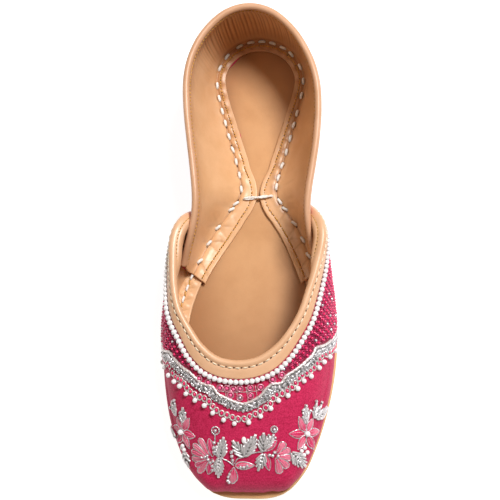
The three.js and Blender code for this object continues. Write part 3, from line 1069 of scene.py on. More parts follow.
def collar_line():
    left, left_down = half_collar(WING_END)
    right, right_down = half_collar(WING_END + WING_TALLER)
    edge, down = np.append(-left, right[-2::-1]), np.append(left_down, right_down[-2::-1])
    return edge, down - read(COLLAR_MOVED, "edge", edge)["in"]


BINDING_STEP = 0.8


def binding(line, profile):
    """A strip with a closed cross-section, drawn as (aside, lift), run along a line. The profile
    is one for all of it, or one for each step."""
    marks = np.linspace(-line.span / 2, line.span / 2, round(line.span / BINDING_STEP))
    profile = np.broadcast_to(profile, (len(marks), *np.shape(profile)[-2:]))
    points = line.beside(marks[:, None], profile[..., 0], profile[..., 1])
    return points.reshape(-1, 3), tube(*points.shape[:2])


COLLAR_MOVED = table(  # how far in over the opening, from the wall's own rim, the collar lies
    "edge in", (-180, 0), (-140, 0), (-115, 0.8), (-95, 1.8), (-75, 2.2), (-50, 1.6), (-25, 1.0),
    (0, 0.9), (25, 0.7), (50, 0.3), (70, 0), (180, 0),
)
COLLAR = Line(VAMP, *collar_line(), eased=5.0)
HEEL_RIM = Line(QUARTER, np.linspace(-QUARTER_END, QUARTER_END, 500), np.zeros(500), eased=0.6)
COLLAR_WIDE = 7.6
STITCH_IN = 2.3  # the collar's stitch line, in from its edge
COLLAR_PROFILE = [
    (7.6, -0.3), (7.75, 0.2), (7.6, 0.55), (7.1, 0.7), (6.2, 0.76), (4.6, 0.74), (3.4, 0.72),
    (2.8, 0.6), (2.3, 0.4), (1.9, 0.55), (1.4, 0.85), (0.8, 1.05), (0.1, 1.0), (-0.5, 0.75),
    (-1.0, 0.3), (-1.3, -0.3), (-1.35, -1.0), (-1.15, -1.7), (-0.7, -2.3), (0.1, -2.7),
    (1.0, -2.85), (1.9, -2.7), (2.6, -2.4), (3.2, -2.2), (3.8, -2.35), (4.8, -2.4),
    (5.4, -2.2), (5.7, -1.7), (5.2, -1.2), (7.0, -0.9),
]
WING_PROFILE = [
    (7.6, -0.3), (7.75, 0.2), (7.6, 0.55), (7.1, 0.7), (6.2, 0.76), (4.6, 0.74), (3.4, 0.72),
    (2.8, 0.66), (2.3, 0.58), (1.9, 0.6), (1.4, 0.65), (0.8, 0.6), (0.2, 0.4), (-0.3, 0.05),
    (-0.65, -0.45), (-0.85, -1.1), (-0.85, -1.8), (-0.72, -2.5), (-0.55, -2.95), (-0.42, -3.3),
    (-0.5, -3.7), (-0.45, -4.4), (-0.1, -5.1), (0.6, -5.7), (1.6, -6.1), (3.0, -6.2),
    (4.4, -6.1), (6.0, -5.4), (5.6, -3.4), (7.2, -1.2),
]
RIM_PROFILE = [
    (2.6, -0.4), (2.7, 0.1), (2.3, 0.42), (1.6, 0.6), (0.8, 0.55), (0.1, 0.3), (-0.45, -0.15),
    (-0.75, -0.8), (-0.75, -1.45), (-0.45, -2.1), (0.1, -2.6), (0.8, -2.95), (1.5, -3.0),
    (2.1, -2.9), (2.5, -2.72), (2.9, -2.68), (3.3, -2.85), (4.0, -3.1), (4.9, -3.05),
    (5.7, -2.7), (6.2, -2.2), (4.0, -1.4),
]


def narrow(along):
    """The collar is narrower on the shoe's sides than in front."""
    edge = np.interp(along, COLLAR.marks, COLLAR.edge)
    return 1 - 0.24 * smooth((np.abs(edge) - 28) / 50)


def wing_turn(along):
    return wing_share(np.interp(along, COLLAR.marks, COLLAR.edge))


def collar():
    """The binding's cross-sections, broad and flat on the wings, and clear of the quarter."""
    along = np.linspace(-1, 1, round(COLLAR.span / BINDING_STEP)) * COLLAR.span / 2
    share = wing_turn(along)[:, None, None]
    profile = blend(np.array(COLLAR_PROFILE), np.array(WING_PROFILE), share)
    outer = (profile[..., 0] > 0) & (profile[..., 1] > -0.4)
    profile[..., 0] *= np.where(outer, narrow(along)[:, None], 1)
    free = np.clip(room(*COLLAR.spot(along[:, None], profile[..., 0])) - 0.7, 2.1, 9)
    for _ in range(4):
        free[1:-1] = np.minimum(free[1:-1], (free[:-2] + free[2:]) / 2)
    profile[..., 1] = np.maximum(profile[..., 1], -free)
    return profile


cleaned(piece("collar_binding", binding(COLLAR, collar()), BINDING_TAN, "lining_leather"))
cleaned(piece("heel_rim_binding", binding(HEEL_RIM, RIM_PROFILE), RIM_TAN, "lining_leather"))


COLLAR_PITCH = 3.5
OCHRE_PITCH, OCHRE_HOLES = 2.05, 1.02


def collar_stitches():
    """A row of cream stitches round the collar, and the needle holes between them."""
    most = int((COLLAR.span / 2 - 4) / COLLAR_PITCH)
    along = np.arange(-most, most + 1) * COLLAR_PITCH
    stitch = hand_stitch(2.3, 0.36, 0.1, 5, 6)
    for suffix, at, model, size, finish in (
        ("", along, stitch, 1.0, CREAM_THREAD),
        ("_holes", along[:-1] + COLLAR_PITCH / 2, DISC, (0.62, 0.58, 0.2), HOLE_SHADE),
    ):
        frames = COLLAR.poses(at, STITCH_IN * narrow(at), 0.4)
        piece("collar_stitches" + suffix, copies(model, frames, size), finish, "white_thread")


def ochre_seam(name, line, half, front, wing):
    """A fine ochre seam inside a rim. front and wing tell how far aside and how high it lies on
    the front of the collar and on its wings."""
    along = np.arange(-half, half, OCHRE_PITCH)
    for suffix, at, model, size, finish in (
        ("", along, hand_stitch(1.3, 0.34, 0.1, 5, 6), 1.0, OCHRE_THREAD),
        ("_holes", along + OCHRE_HOLES, DISC, (0.3, 0.27, 0.08), HOLE_SHADE),
    ):
        turned = wing_turn(at) if line is COLLAR else np.zeros(len(at))
        aside, lift = (blend(*ends, turned) for ends in zip(front, wing))
        place, forward, side, up = line.poses(at, aside, lift)
        up = unit(-blend(up, side, turned[:, None]))
        frames = (place, forward, np.cross(up, forward), up)
        piece(name + suffix, copies(model, frames, size), finish, "tan_thread")


collar_stitches()
ON_RIM = COLLAR.down < 0.4
RIM_HALF = np.interp(166.0, COLLAR.edge[ON_RIM], COLLAR.marks[ON_RIM])
ochre_seam("wing_lining_seam", COLLAR, RIM_HALF + 9, (2.9, -2.24), (-0.45, -3.3))
ochre_seam("heel_rim_seam", HEEL_RIM, HEEL_RIM.span / 2 - 3, (2.7, -2.7), (2.7, -2.7))


# ---- the quarter ----

WHITE_STITCHES = (
    151.3, 139.0, 128.0, 115.9, 112.1, 105.7, 98.7, 91.2, 83.4, 76.1, 68.3, 61.1, 52.8, 45.0,
    33.2, 24.0, 13.3, 5.5, -2.0, -9.0, -16.2, -23.2, -33.4, -43.4, -53.0, -63.5, -70.8, -78.3,
    -86.3, -94.1, -101.1, -105.9, -112.4, -116.7, -126.6, -137.9, -148.6,
)
STITCH_AWAY = 1.1  # the white stitches lie this far in from the corner
INNER_SEAM_IN = 2.7  # the fine seam lies this far from the margin's inner edge
MARGIN_CREASES = table(
    "x0 y0 x1 y1 deep width",
    (151, 1, 156, 9, 0.3, 0.9), (150, 2, 147, 10, 0.22, 1), (153, 0, 158, -5, 0.15, 1.4),
    (139, 1, 142, 10, 0.25, 1), (138, 1, 133, 9, 0.28, 1), (139, -1, 143, -8, 0.13, 1.6),
    (128, 1, 131, 9, 0.22, 1), (127, 1, 122, 8, 0.25, 1.1), (128, -1, 133, -9, 0.18, 1.9),
    (127, -1, 123, -10, 0.17, 1.9), (115, 0, 119, -10, 0.12, 2.1), (110, 0, 107, -12, 0.09, 2.2),
    (-149, 1, -154, 9, 0.25, 0.9), (-138, 1, -141, 9, 0.25, 1), (-137, 1, -132, 8, 0.2, 1),
    (-127, 1, -131, 8, 0.2, 1.1), (-126, -1, -121, -9, 0.15, 1.8), (-117, -1, -121, -11, 0.15, 1.9),
    (-112, -1, -114, -13, 0.18, 2.1), (-106, -2, -104, -15, 0.17, 2.1),
    (-99, -2, -97, -14, 0.12, 2.1),
    (88, -3, 96, -16, 0.06, 2.4), (40, -4, 58, -20, 0.08, 1.8), (44, -8, 64, -17, 0.06, 1.6),
    (36, -6, 50, -24, 0.06, 1.6), (129, -1, 136, -6, 0.08, 1.9), (128, -2, 127, -10, 0.07, 2.1),
    (129, 2, 136, 8, 0.16, 1.1), (140, -1, 138, -7, 0.07, 1.9), (117, 1, 121, 9, 0.16, 1.1),
    (-127, -1, -129, -9, 0.07, 2.1), (-128, 2, -135, 8, 0.16, 1.1), (-118, 1, -121, 9, 0.16, 1.1),
)


def heel_pleats(edges):
    """The lining is gathered under the heel's rim: fine uneven pleats that fade downwards."""
    middle = bell(edges - 4, 38, 4) * (0.7 + 0.3 * bell(edges - 18, 16))
    wander = ripple(edges, [(13, 0.5, 0.3), (7, 0.2, 0.6)])
    fine = np.abs(np.sin(np.pi * (edges + wander) / 2.15))
    uneven = 0.72 + ripple(edges, [(5.3, 0.16, 0.1), (8.9, 0.14, 0.6)])
    return 0.75 * middle * (1 - fine) ** 1.2 * uneven


END_CUT = 5.0  # the front ends are cut slantwise: this much shorter at the foot than at the rim
MARGIN_MORE = table(
    "edge more",
    (-160, 0), (-150, 0.3), (-140, 1.0), (-130, 1.5), (-121, 1.6), (-114, 1.9), (-109, 1.5),
    (-104, 0.3), (-98, -0.5), (-90, 0), (0, 0), (90, 0), (98, -0.5), (104, 0.3), (109, 1.5),
    (114, 2.1), (121, 2.6), (130, 2.6), (140, 1.6), (150, 0.5), (160, 0),
)


def margin_of(edges):
    return read(QUARTER_ROWS, "edge", edges)["margin"] + read(MARGIN_MORE, "edge", edges)["more"]


def slanted(edges, short):
    return edges * (1 - short / QUARTER_END * (np.abs(edges) / QUARTER_END) ** 12)


def quarter_leather():
    """The lining and the margin are one leather: down the wall, round the corner and in over the
    insole, where white hand stitches hold it."""
    edges = np.concatenate([
        np.linspace(-QUARTER_END, -48, 130), np.linspace(-48, 48, 250)[1:-1],
        np.linspace(48, QUARTER_END, 130),
    ])
    top = read(QUARTER_ROWS, "edge", edges)["marginUp"] + MARGIN_THICK
    corner = inner_foot(QUARTER, edges, top)
    inner = margin_line(HALF_ROUND + edges, margin_of(edges), top)
    lines, away = [], []
    wall_steps = np.append(np.linspace(0, 0.86, 30)[:-1], np.linspace(0.86, 1, 9))
    margin_steps = np.linspace(0, 1, 17)[1:]
    for i, edge in enumerate(edges):
        downs = 2.4 + (corner[i] - 2.4) * wall_steps
        fold = bell(np.maximum(downs - 4, 0), 6.5)
        down_wall = QUARTER.at(edge, downs, -WALL - fold)
        turned = blend(down_wall[-1], inner[i], margin_steps[:, None])
        turned[:, 2] = sole_top(turned[:, 1]) + top[i]
        line = np.vstack([down_wall, turned])
        for _ in range(3):
            line[1:-1] = (line[:-2] + 2 * line[1:-1] + line[2:]) / 4
        lines.append(line)
        width = np.linalg.norm(inner[i] - down_wall[-1])
        away.append(np.append(downs - corner[i], margin_steps * width))
    grid, away = np.array(lines), np.array(away)
    across = np.broadcast_to(edges[:, None], away.shape)
    from_seam = away - STITCH_AWAY
    nearest = np.min(np.abs(across[..., None] - np.array(WHITE_STITCHES)), axis=-1)
    crease = 0.42 * trough(from_seam, 0.75) * np.where(nearest < 1.6, 0.5, 1.0)
    pinch = 0.5 * bell(nearest, 1.7) * bell(from_seam, 1.3)
    puff = 0.55 * bell(from_seam - 2.2, 1.5) + 0.25 * bell(from_seam + 2.0, 1.4)
    puff = puff * np.clip(nearest / 3.2, 0, 1)
    inner_seam = 0.14 * trough(away - (away[:, -1:] - INNER_SEAM_IN), 1.0)
    pleats = heel_pleats(across) * np.clip((-away - 3) / 20, 0, 1) ** 0.8
    by_hand = creases(MARGIN_CREASES, across, away)
    soft = ripple(across + 0.4 * away, [(37, 0.10, 0.2), (23, 0.07, 0.7)])
    depth = crease + pinch + inner_seam + pleats + by_hand
    normal = unit(np.cross(np.gradient(grid, axis=0), np.gradient(grid, axis=1)))
    grid = grid + normal * (puff + soft - depth)[..., None]
    lip = [inner + np.array([0, 0, -down]) for down in (0.35, 0.8)]
    grid = np.concatenate([grid, np.stack(lip, 1)], axis=1)
    cut = np.concatenate([END_CUT * wall_steps, END_CUT - 2.6 * margin_steps, [END_CUT - 2.6] * 2])
    for j, short in enumerate(cut):
        kept = slanted(edges, short)
        for k in range(3):
            grid[:, j, k] = np.interp(kept, edges, grid[:, j, k])
    # Painted shade: creases, pinches, the seam and pleats are darkened, and so are the heel's
    # margin, spots beside the stitches and the heel wall's foot.
    shade = crease * 1.1 + pinch * 0.9 + inner_seam * 0.1 + pleats * 1.2 + by_hand
    painted_dark = bell(across + 12, 100, 4) * np.clip((away + 3) / 4, 0, 1)  # painted shade, darker at the heel
    # painted shade in spots beside the stitches, between the puffs
    spots = bell(nearest, 1.5) * bell(from_seam - 1.8, 1.7)
    # painted shade low on the heel's wall
    heel_wall_shade = bell(across + 16, 46, 4) * bell(away + 5, 15) * (away < 0)
    shade = np.clip(shade + painted_dark * (0.38 + 0.5 * spots) + heel_wall_shade * 0.3, 0, 1)
    shade = np.column_stack([shade, np.zeros((len(edges), 2))])[:, ::-1]
    obj = piece("quarter_lining", sheet(grid[:, ::-1]), TAN, "lining_leather", shade=shade)
    thickened(obj, SKIN)
    return edges, grid[:, :-2], away, normal


def quarter_silk():
    edges = np.linspace(-QUARTER_END, QUARTER_END, 280)[:, None]
    lengths = QUARTER.length(edges)
    share = np.linspace(0, 1, 46)
    downs = 1.2 + (lengths - 0.5) * share
    edges = slanted(edges, END_CUT * share)
    lift = ripple(edges + downs * 0.4, [(33, 0.08, 0.2), (19, 0.05, 0.6)])
    lift = lift - 0.5 * np.clip(1 - (lengths + 0.3 - downs) / 1.6, 0, 1) ** 2
    points = QUARTER.at(edges, downs, lift)
    obj = piece("quarter_silk", sheet(points), SILK, "silk", flat_of(edges, downs))
    thickened(obj, SKIN)
    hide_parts("quarter")


def turned_silk():
    """The silk's own margin under the leather one. Slivers of it show at the inner edge."""
    edges = np.linspace(-156, 156, 240)
    rows = read(QUARTER_ROWS, "edge", edges)
    show = bell(edges - 24, 7) + 0.8 * bell(edges - 77, 3) - 0.5
    under, up = HALF_ROUND + edges, rows["marginUp"] + 0.35
    outer = margin_line(under, rows["inset"] + 1.5, up)
    inner = margin_line(under, margin_of(edges) + show, up)
    share = np.linspace(0, 1, 8)
    strip = blend(outer[:, None], inner[:, None], share[:, None])
    flat = flat_of(edges[:, None], share * 8)
    obj = piece("turned_silk", sheet(strip[:, ::-1]), SILK, "silk", flat)
    thickened(obj, 0.35)


MARGIN_EDGES, MARGIN_GRID, MARGIN_AWAY, MARGIN_UPWARD = quarter_leather()
quarter_silk()
turned_silk()


def on_margin(edges, away):
    """Places and directions on the quarter's leather: place, along the edge, and up."""
    edges, away = np.broadcast_arrays(np.asarray(edges, float), np.asarray(away, float))
    found = []
    for edge, distance in zip(edges, away):
        k = np.clip(np.searchsorted(MARGIN_EDGES, edge), 1, len(MARGIN_EDGES) - 2)
        line = np.column_stack([
            np.interp(distance, MARGIN_AWAY[k], grid[k][:, n])
            for grid in (MARGIN_GRID, MARGIN_UPWARD)
            for n in range(3)
        ])[0]
        ahead = MARGIN_GRID[k + 1] - MARGIN_GRID[k - 1]
        forward = [np.interp(distance, MARGIN_AWAY[k], ahead[:, n]) for n in range(3)]
        found.append(np.concatenate([line, forward]))
    found = np.array(found)
    return found[:, :3], found[:, 6:], found[:, 3:6]


def margin_row(name, model, edges, away, lift, size, finish, slot, tilt=0.0):
    """A row of stitches or needle holes on the quarter's margin."""
    spots, forward, up = on_margin(edges, away)
    frames = poses(spots + up * lift, forward, up, tilt)
    piece(name, copies(model, frames, size), finish, slot)


def margin_stitches():
    places = np.array(WHITE_STITCHES)
    tilt = rng.uniform(-0.16, 0.16, len(places)) - 0.3 * np.sign(places) * (np.abs(places) > 108)
    margin_row(
        "margin_stitches", hand_stitch(3.4, 0.8, 0.4), places, STITCH_AWAY, 0.3, 1.0,
        WHITE_THREAD, "white_thread", tilt,
    )
    ends = np.concatenate([places - 1.9, places + 1.9])
    size = (0.6, 0.5, 0.12)
    margin_row("margin_stitch_holes", DISC, ends, STITCH_AWAY, 0.02, size, HOLE_SHADE, "white_thread")


def inner_seam():
    """The fine ochre seam near the margin's inner edge, and its needle holes."""
    at = np.arange(-159, 159.5, 2.0)
    away = np.interp(at, MARGIN_EDGES, MARGIN_AWAY[:, -1]) - INNER_SEAM_IN
    stitch, size = hand_stitch(1.2, 0.36, 0.1, 5, 6), (0.34, 0.3, 0.1)
    margin_row("margin_seam", stitch, at, away, 0.12, 1.0, OCHRE_THREAD, "tan_thread")
    margin_row("margin_seam_holes", DISC, at + 1.0, away, 0.04, size, HOLE_SHADE, "tan_thread")


def vamp_margin_stitches():
    """White stitches in the vamp's margin, with a waxed one from each to the next."""
    corner = inner_foot(VAMP, VAMP_STITCHES, VAMP_TOP)
    outer = VAMP.at(VAMP_STITCHES, corner, -WALL + 0.4)
    inward = unit(margin_line(VAMP_STITCHES, VAMP_MARGIN_INSET, VAMP_TOP) - outer)
    up = upright(len(outer))
    frames = poses(outer + inward * VAMP_SEAM + up * 0.15, np.cross(inward, up), up)
    stitch = hand_stitch(3.4, 0.66, 0.5)
    piece("vamp_margin_stitches", copies(stitch, frames, 1.0), WHITE_THREAD, "white_thread")
    one, other = frames[0][:-1], frames[0][1:]
    near = np.linalg.norm(other - one, axis=1) < 9
    middle, up = (other + one)[near] / 2, up[1:][near]
    frames = poses(middle - up * 0.1, (other - one)[near], up, 0.35)
    waxed = copies(hand_stitch(3.2, 0.4, 0.3, 7, 6), frames, 1.0)
    piece("vamp_margin_waxed_stitches", waxed, OCHRE_THREAD, "tan_thread")


TIE_AT = 109.0  # the tie thread joins the two sides of the margin here


def tie_thread():
    """A doubled white thread that holds the two sides of the margin together at the waist."""
    spots, _, up = on_margin([TIE_AT, -TIE_AT], [3.6, 3.4])
    t = np.linspace(0, 1, 40)[:, None]
    path = blend(spots[0], spots[1], t)
    path[:, 2] = spots[:, 2].max() + 1.0 - 0.3 * np.sin(np.pi * t[:, 0])
    dive = np.clip(np.abs(t[:, 0] - 0.5) * 2 - 0.86, 0, 1) / 0.14
    path[:, 2] -= 1.9 * dive**2
    up = upright(40)
    apart = np.sin(np.linspace(0, 2.2 * np.pi, 40)) * 0.42
    strands = []
    for side in (1, -1):
        strand = path + np.column_stack([np.zeros(40), apart * side, 0.3 * side * np.cos(apart)])
        strands.append(cord(strand, up, 0.62, 8, 2, 2.4))
    piece("tie_thread", gathered(strands), WHITE_THREAD, "white_thread")


margin_stitches()
inner_seam()
vamp_margin_stitches()
tie_thread()


# ---- embroidery on the vamp ----

SILK_TREE = tree_of(SILK_SKIN)
SEWN, PATTERNS = {}, {}


def sew(kind, made, flat=None):
    SEWN.setdefault(kind, []).append(made)
    if flat is not None:
        PATTERNS.setdefault(kind, []).append(flat)


def on_silk(edge, down, lift=0.0):
    """A place on the silk, on its puckers too."""
    edge, down = np.broadcast_arrays(np.asarray(edge, float), np.asarray(down, float))
    return VAMP.at(edge, down, silk_puckers(edge, down, VAMP.length(edge)) + lift)


def settled(points, lift=0.0):
    """The nearest places on the silk, raised off it, and which way is up there."""
    found = [SILK_TREE.find_nearest(Vector(point))[:2] for point in points.reshape(-1, 3)]
    place, up = (np.array([list(pair[k]) for pair in found]) for k in (0, 1))
    return place + up * np.reshape(lift, (-1, 1)), up


def drawn(places, lift, step=0.35):
    """Close points on the silk along a smooth line through the given places."""
    places = np.array(places, float)
    reach = Line.reach(on_silk(*places.T))
    at = np.linspace(0, reach[-1], max(5, round(reach[-1] / step)))
    there = read({"at": reach, "edge": places[:, 0], "down": places[:, 1]}, "at", at)
    edge, down = there["edge"], there["down"]
    return on_silk(edge, down, lift), VAMP.outward(edge, down)


def beads(kind, places, radius, model=BEAD, lift=0.75):
    """Beads sewn at the given places, each a little uneven in size and turned its own way."""
    places = np.array(places, float).reshape(-1, 2)
    radius = np.broadcast_to(radius, len(places)) * rng.uniform(0.94, 1.06, len(places))
    up = VAMP.outward(*places.T)
    turned = unit(rng.normal(size=up.shape))
    spots = on_silk(*places.T, radius * lift)
    sew(kind, copies(model, poses(spots, turned, up), radius[:, None]))


def strung(path, pitch):
    """Positions along a path at a pitch, which may change along it."""
    reach, at, marks = Line.reach(path), 0.0, []
    while at < reach[-1]:
        marks.append(at)
        at += np.interp(at, reach, pitch)
    return np.array(marks), reach


# pearls against the collar

PEARL_SIZES = table(
    "along radius", (0, 1.34), (30, 1.34), (50, 1.28), (70, 1.12), (85, 0.98), (140, 0.85)
)


def collar_pearls():
    for way in (1, -1):
        along = np.linspace(0, RIM_HALF, 500)
        radius = read(PEARL_SIZES, "along", along)["radius"]
        wide = COLLAR_WIDE * narrow(way * along)
        path = COLLAR.beside(way * along, wide + 0.25 + radius)
        marks, reach = strung(path, 1.95 * radius)
        at = np.interp(marks[1 if way < 0 else 0:], reach, along)
        size = np.interp(at, along, radius)
        wide = COLLAR_WIDE * narrow(way * at)
        spots, _, _, up = COLLAR.poses(way * at, wide + 0.25 + size, size * 0.85)
        frames = poses(spots, unit(rng.normal(size=up.shape)), up)
        sew("collar_pearls", copies(PEARL_BEAD, frames, 1.07 * size[:, None]))


collar_pearls()
RIM_ALONG = np.linspace(-RIM_HALF, RIM_HALF, 400)
UNDER_PEARLS = COLLAR.spot(RIM_ALONG, COLLAR_WIDE * narrow(RIM_ALONG) + 3.1)

# the silver band, the fringe below it and the net above it

BAND_TOP = [
    (-119, 48), (-112, 42), (-103, 35), (-92.5, 27.8), (-76.3, 16.1), (-64.1, 14.4),
    (-51.3, 13.2), (-43.1, 12.4), (-34.8, 12.8), (-27.6, 13.3), (-19.1, 12.6), (-14.9, 15.2),
    (-9.6, 16.4), (-3.2, 18.0), (2.7, 19.0), (8.8, 17.9), (14.6, 16.3), (19.6, 13.9),
    (25.0, 13.1), (32.4, 14.7), (39.2, 13.4), (46.3, 13.9), (53.2, 14.6), (63.7, 15.8),
    (74.3, 17.0), (80.2, 16.9), (88.0, 21.7), (97.9, 28.7), (108.5, 39.6), (116, 46),
]
FRINGE_BEADS = [
    (-61.9, 21.3), (-56.6, 20.8), (-52.7, 20.0), (-48.6, 19.2), (-44.8, 19.2), (-40.6, 20.0),
    (-36.4, 20.5), (-32.1, 20.4), (-27.5, 20.2), (-23.6, 19.8), (-20.1, 20.4), (-17.4, 22.1),
    (-14.9, 23.5), (-11.6, 24.4), (-8.3, 24.9), (-4.9, 25.9), (-1.5, 26.5), (2.2, 26.5),
    (5.6, 25.6), (9.3, 24.7), (12.4, 23.8), (16.2, 22.8), (19.4, 21.5), (22.1, 19.7),
    (25.5, 18.8), (29.7, 19.6), (34.3, 19.9), (39.3, 19.9), (43.9, 19.4), (48.8, 18.8),
    (53.1, 19.0), (58.1, 20.2), (63.0, 21.3), (67.9, 22.1), (72.8, 22.5), (77.4, 22.7),
    (81.3, 23.4), (85.1, 25.7), (89.1, 28.6),
]
FRINGE_PEARLS = [
    (-77.6, 27.5), (-66.4, 24.9), (-55.7, 22.9), (-47.9, 21.8), (-39.6, 22.7), (-30.5, 22.8),
    (-22.7, 22.9), (-16.9, 25.1), (-10.2, 27.4), (-3.8, 28.7), (4.8, 28.2), (12.3, 26.1),
    (19.1, 23.8), (25.4, 21.6), (33.3, 21.8), (43.6, 22.0), (51.8, 21.5), (60.4, 23.1),
    (72.0, 24.7), (79.2, 26.0), (86.7, 29.5), (95.3, 37.0),
]


def band_top(edge):
    known = np.array(BAND_TOP).T
    return np.interp(edge, known[0], known[1], left=FAR, right=FAR)


def band_line():
    given = np.linspace(0, 1, len(BAND_TOP))
    return [np.interp(np.linspace(0, 1, 900), given, column) for column in np.array(BAND_TOP).T]


BAND = Line(VAMP, *band_line(), eased=1.6)


def above_sole(places):
    return places[:, 2] > sole_top(places[:, 1]) + 1.0


def silver_band():
    path, up = drawn(BAND_TOP, 0.5, 0.4)
    kept = above_sole(path)
    path, up = path[kept], up[kept]
    sew("band_cord", cord(path, up, 0.88, 8, 2, 2.3))
    marks = np.linspace(-BAND.span / 2, BAND.span / 2, round(BAND.span / 1.2))
    aside, lift = np.array([[0.2, 1.6, 3.0, 4.3]]), np.array([[0.3, 0.3, 0.3, 0.0]])
    strip = BAND.beside(marks[:, None], aside, lift)
    strip = strip[above_sole(strip[:, 1:3].reshape(-1, 3)).reshape(-1, 2).all(axis=1)]
    # a strip of painted shade under the band's pieces
    sew("band_shade_sheet", sheet(strip))
    for aside, pitch, big in ((1.85, 1.95, 1.28), (3.55, 1.5, 0.9)):
        along = np.arange(-BAND.span / 2 + 1, BAND.span / 2 - 1, pitch) + rng.uniform(0, 1)
        along = along + rng.uniform(-0.2, 0.2, len(along))
        aside = aside + rng.uniform(-0.2, 0.2, len(along))
        kind = rng.choice(3, len(along), p=(0.36, 0.26, 0.38))
        tilt = rng.uniform(-1.2, 1.2, len(along))
        for of, name, model, size, lift in (
            (0, "band_beads", BEAD, (0.84, 0.84, 0.78), 0.7),
            (1, "band_coils", COIL, (2.0, 0.56, 0.56), 0.65),
            (2, "band_rings", RING, (0.74, 0.74, 1.2), 0.6),
            (2, "band_beads", BEAD, (0.42, 0.42, 0.42), 0.75),
        ):
            chosen = kind == of
            frames = BAND.poses(along[chosen], aside[chosen], lift, tilt[chosen])
            scale = big * np.array(size) * rng.uniform(0.88, 1.12, (chosen.sum(), 1))
            kept = above_sole(frames[0])
            frames, scale = tuple(part[kept] for part in frames), scale[kept]
            sew(name, copies(model, frames, scale))


def fringe():
    left, right = FRINGE_BEADS[0][0], FRINGE_BEADS[-1][0]
    more = np.arange(-BAND.span / 2 + 4, BAND.span / 2 - 2, 2.75)
    edge, down = BAND.spot(more, 5.9)
    outside = ((edge < left - 3.2) | (edge > right + 2.5)) & (down < VAMP.length(edge) - 2)
    places = FRINGE_BEADS + list(zip(edge[outside], down[outside]))
    edge, down = BAND.spot(more[::2], 8.5)
    outside = ((edge < -84) | (edge > 99)) & (down < VAMP.length(edge) - 2)
    pearls = FRINGE_PEARLS + list(zip(edge[outside], down[outside]))
    at = np.array(places)
    spots = on_silk(*at.T, 0.42)
    down_way = on_silk(at[:, 0], at[:, 1] + 0.5) - on_silk(at[:, 0], at[:, 1] - 0.5)
    frames = poses(spots, down_way, VAMP.outward(*at.T), rng.uniform(-0.3, 0.3, len(at)))
    sew("fringe_beads", copies(BEAD, frames, (0.98, 0.7, 0.75)))
    sew("fringe_loops", copies(RING, frames, (1.45, 1.18, 1.15)))
    beads("fringe_pearls", pearls, 1.3, PEARL_BEAD)
    at = np.array(pearls)
    for aside in (1.7, -1.7):
        beads("fringe_picots", at + (aside, -1.6), 0.4)


FRONT_RINGS = [
    (-13.7, 12.2), (-8.6, 11.8), (1.0, 11.6), (8.6, 11.6), (-6.0, 14.9), (0.5, 16.0),
    (7.8, 15.4), (15.9, 12.4), (-31.7, 12.0), (-23.1, 11.4), (26.4, 11.2), (35.4, 11.7),
    (-3.9, 11.9),
]
NET_THREADS = [
    [(-9.2, 11), (-9.4, 15.5)], [(-1.4, 11), (-1.4, 17.6)], [(5.6, 11), (5.8, 17.8)],
    [(12.4, 11), (12.3, 16)], [(-12.6, 13.8), (-6, 13.5), (0, 13.4), (7, 13.4), (14.6, 13.8)],
]


def net_ring(places, radius, rings="net_rings"):
    at = np.array(places, float).reshape(-1, 2)
    up = VAMP.outward(*at.T)
    lean = up + rng.normal(0, 0.07, up.shape)
    frames = poses(on_silk(*at.T, 0.42), unit(rng.normal(size=up.shape)), lean)
    size = radius * rng.uniform(0.93, 1.07, (len(at), 1))
    sew(rings, copies(RING, frames, size * (1, 1, 1.25)))
    pink = rng.random(len(at)) < 0.85
    centres = "front_beads" if rings == "front_rings" else "net_pink_beads"
    for chosen, kind in ((pink, centres), (~pink, "net_silver_beads")):
        frames_of = tuple(part[chosen] for part in frames)
        frames_of = (frames_of[0] + frames_of[3] * 0.25, *frames_of[1:])
        sew(kind, copies(BEAD, frames_of, size[chosen] * (0.62, 0.62, 0.6)))


COLLAR_EDGE = COLLAR.beside(np.linspace(-COLLAR.span / 2, COLLAR.span / 2, 600), 0.0)


def from_collar(edge, down):
    """How far places on the silk are from the collar's own edge."""
    places = on_silk(edge, down)
    return np.linalg.norm(places[:, None] - COLLAR_EDGE[None], axis=-1).min(axis=1)


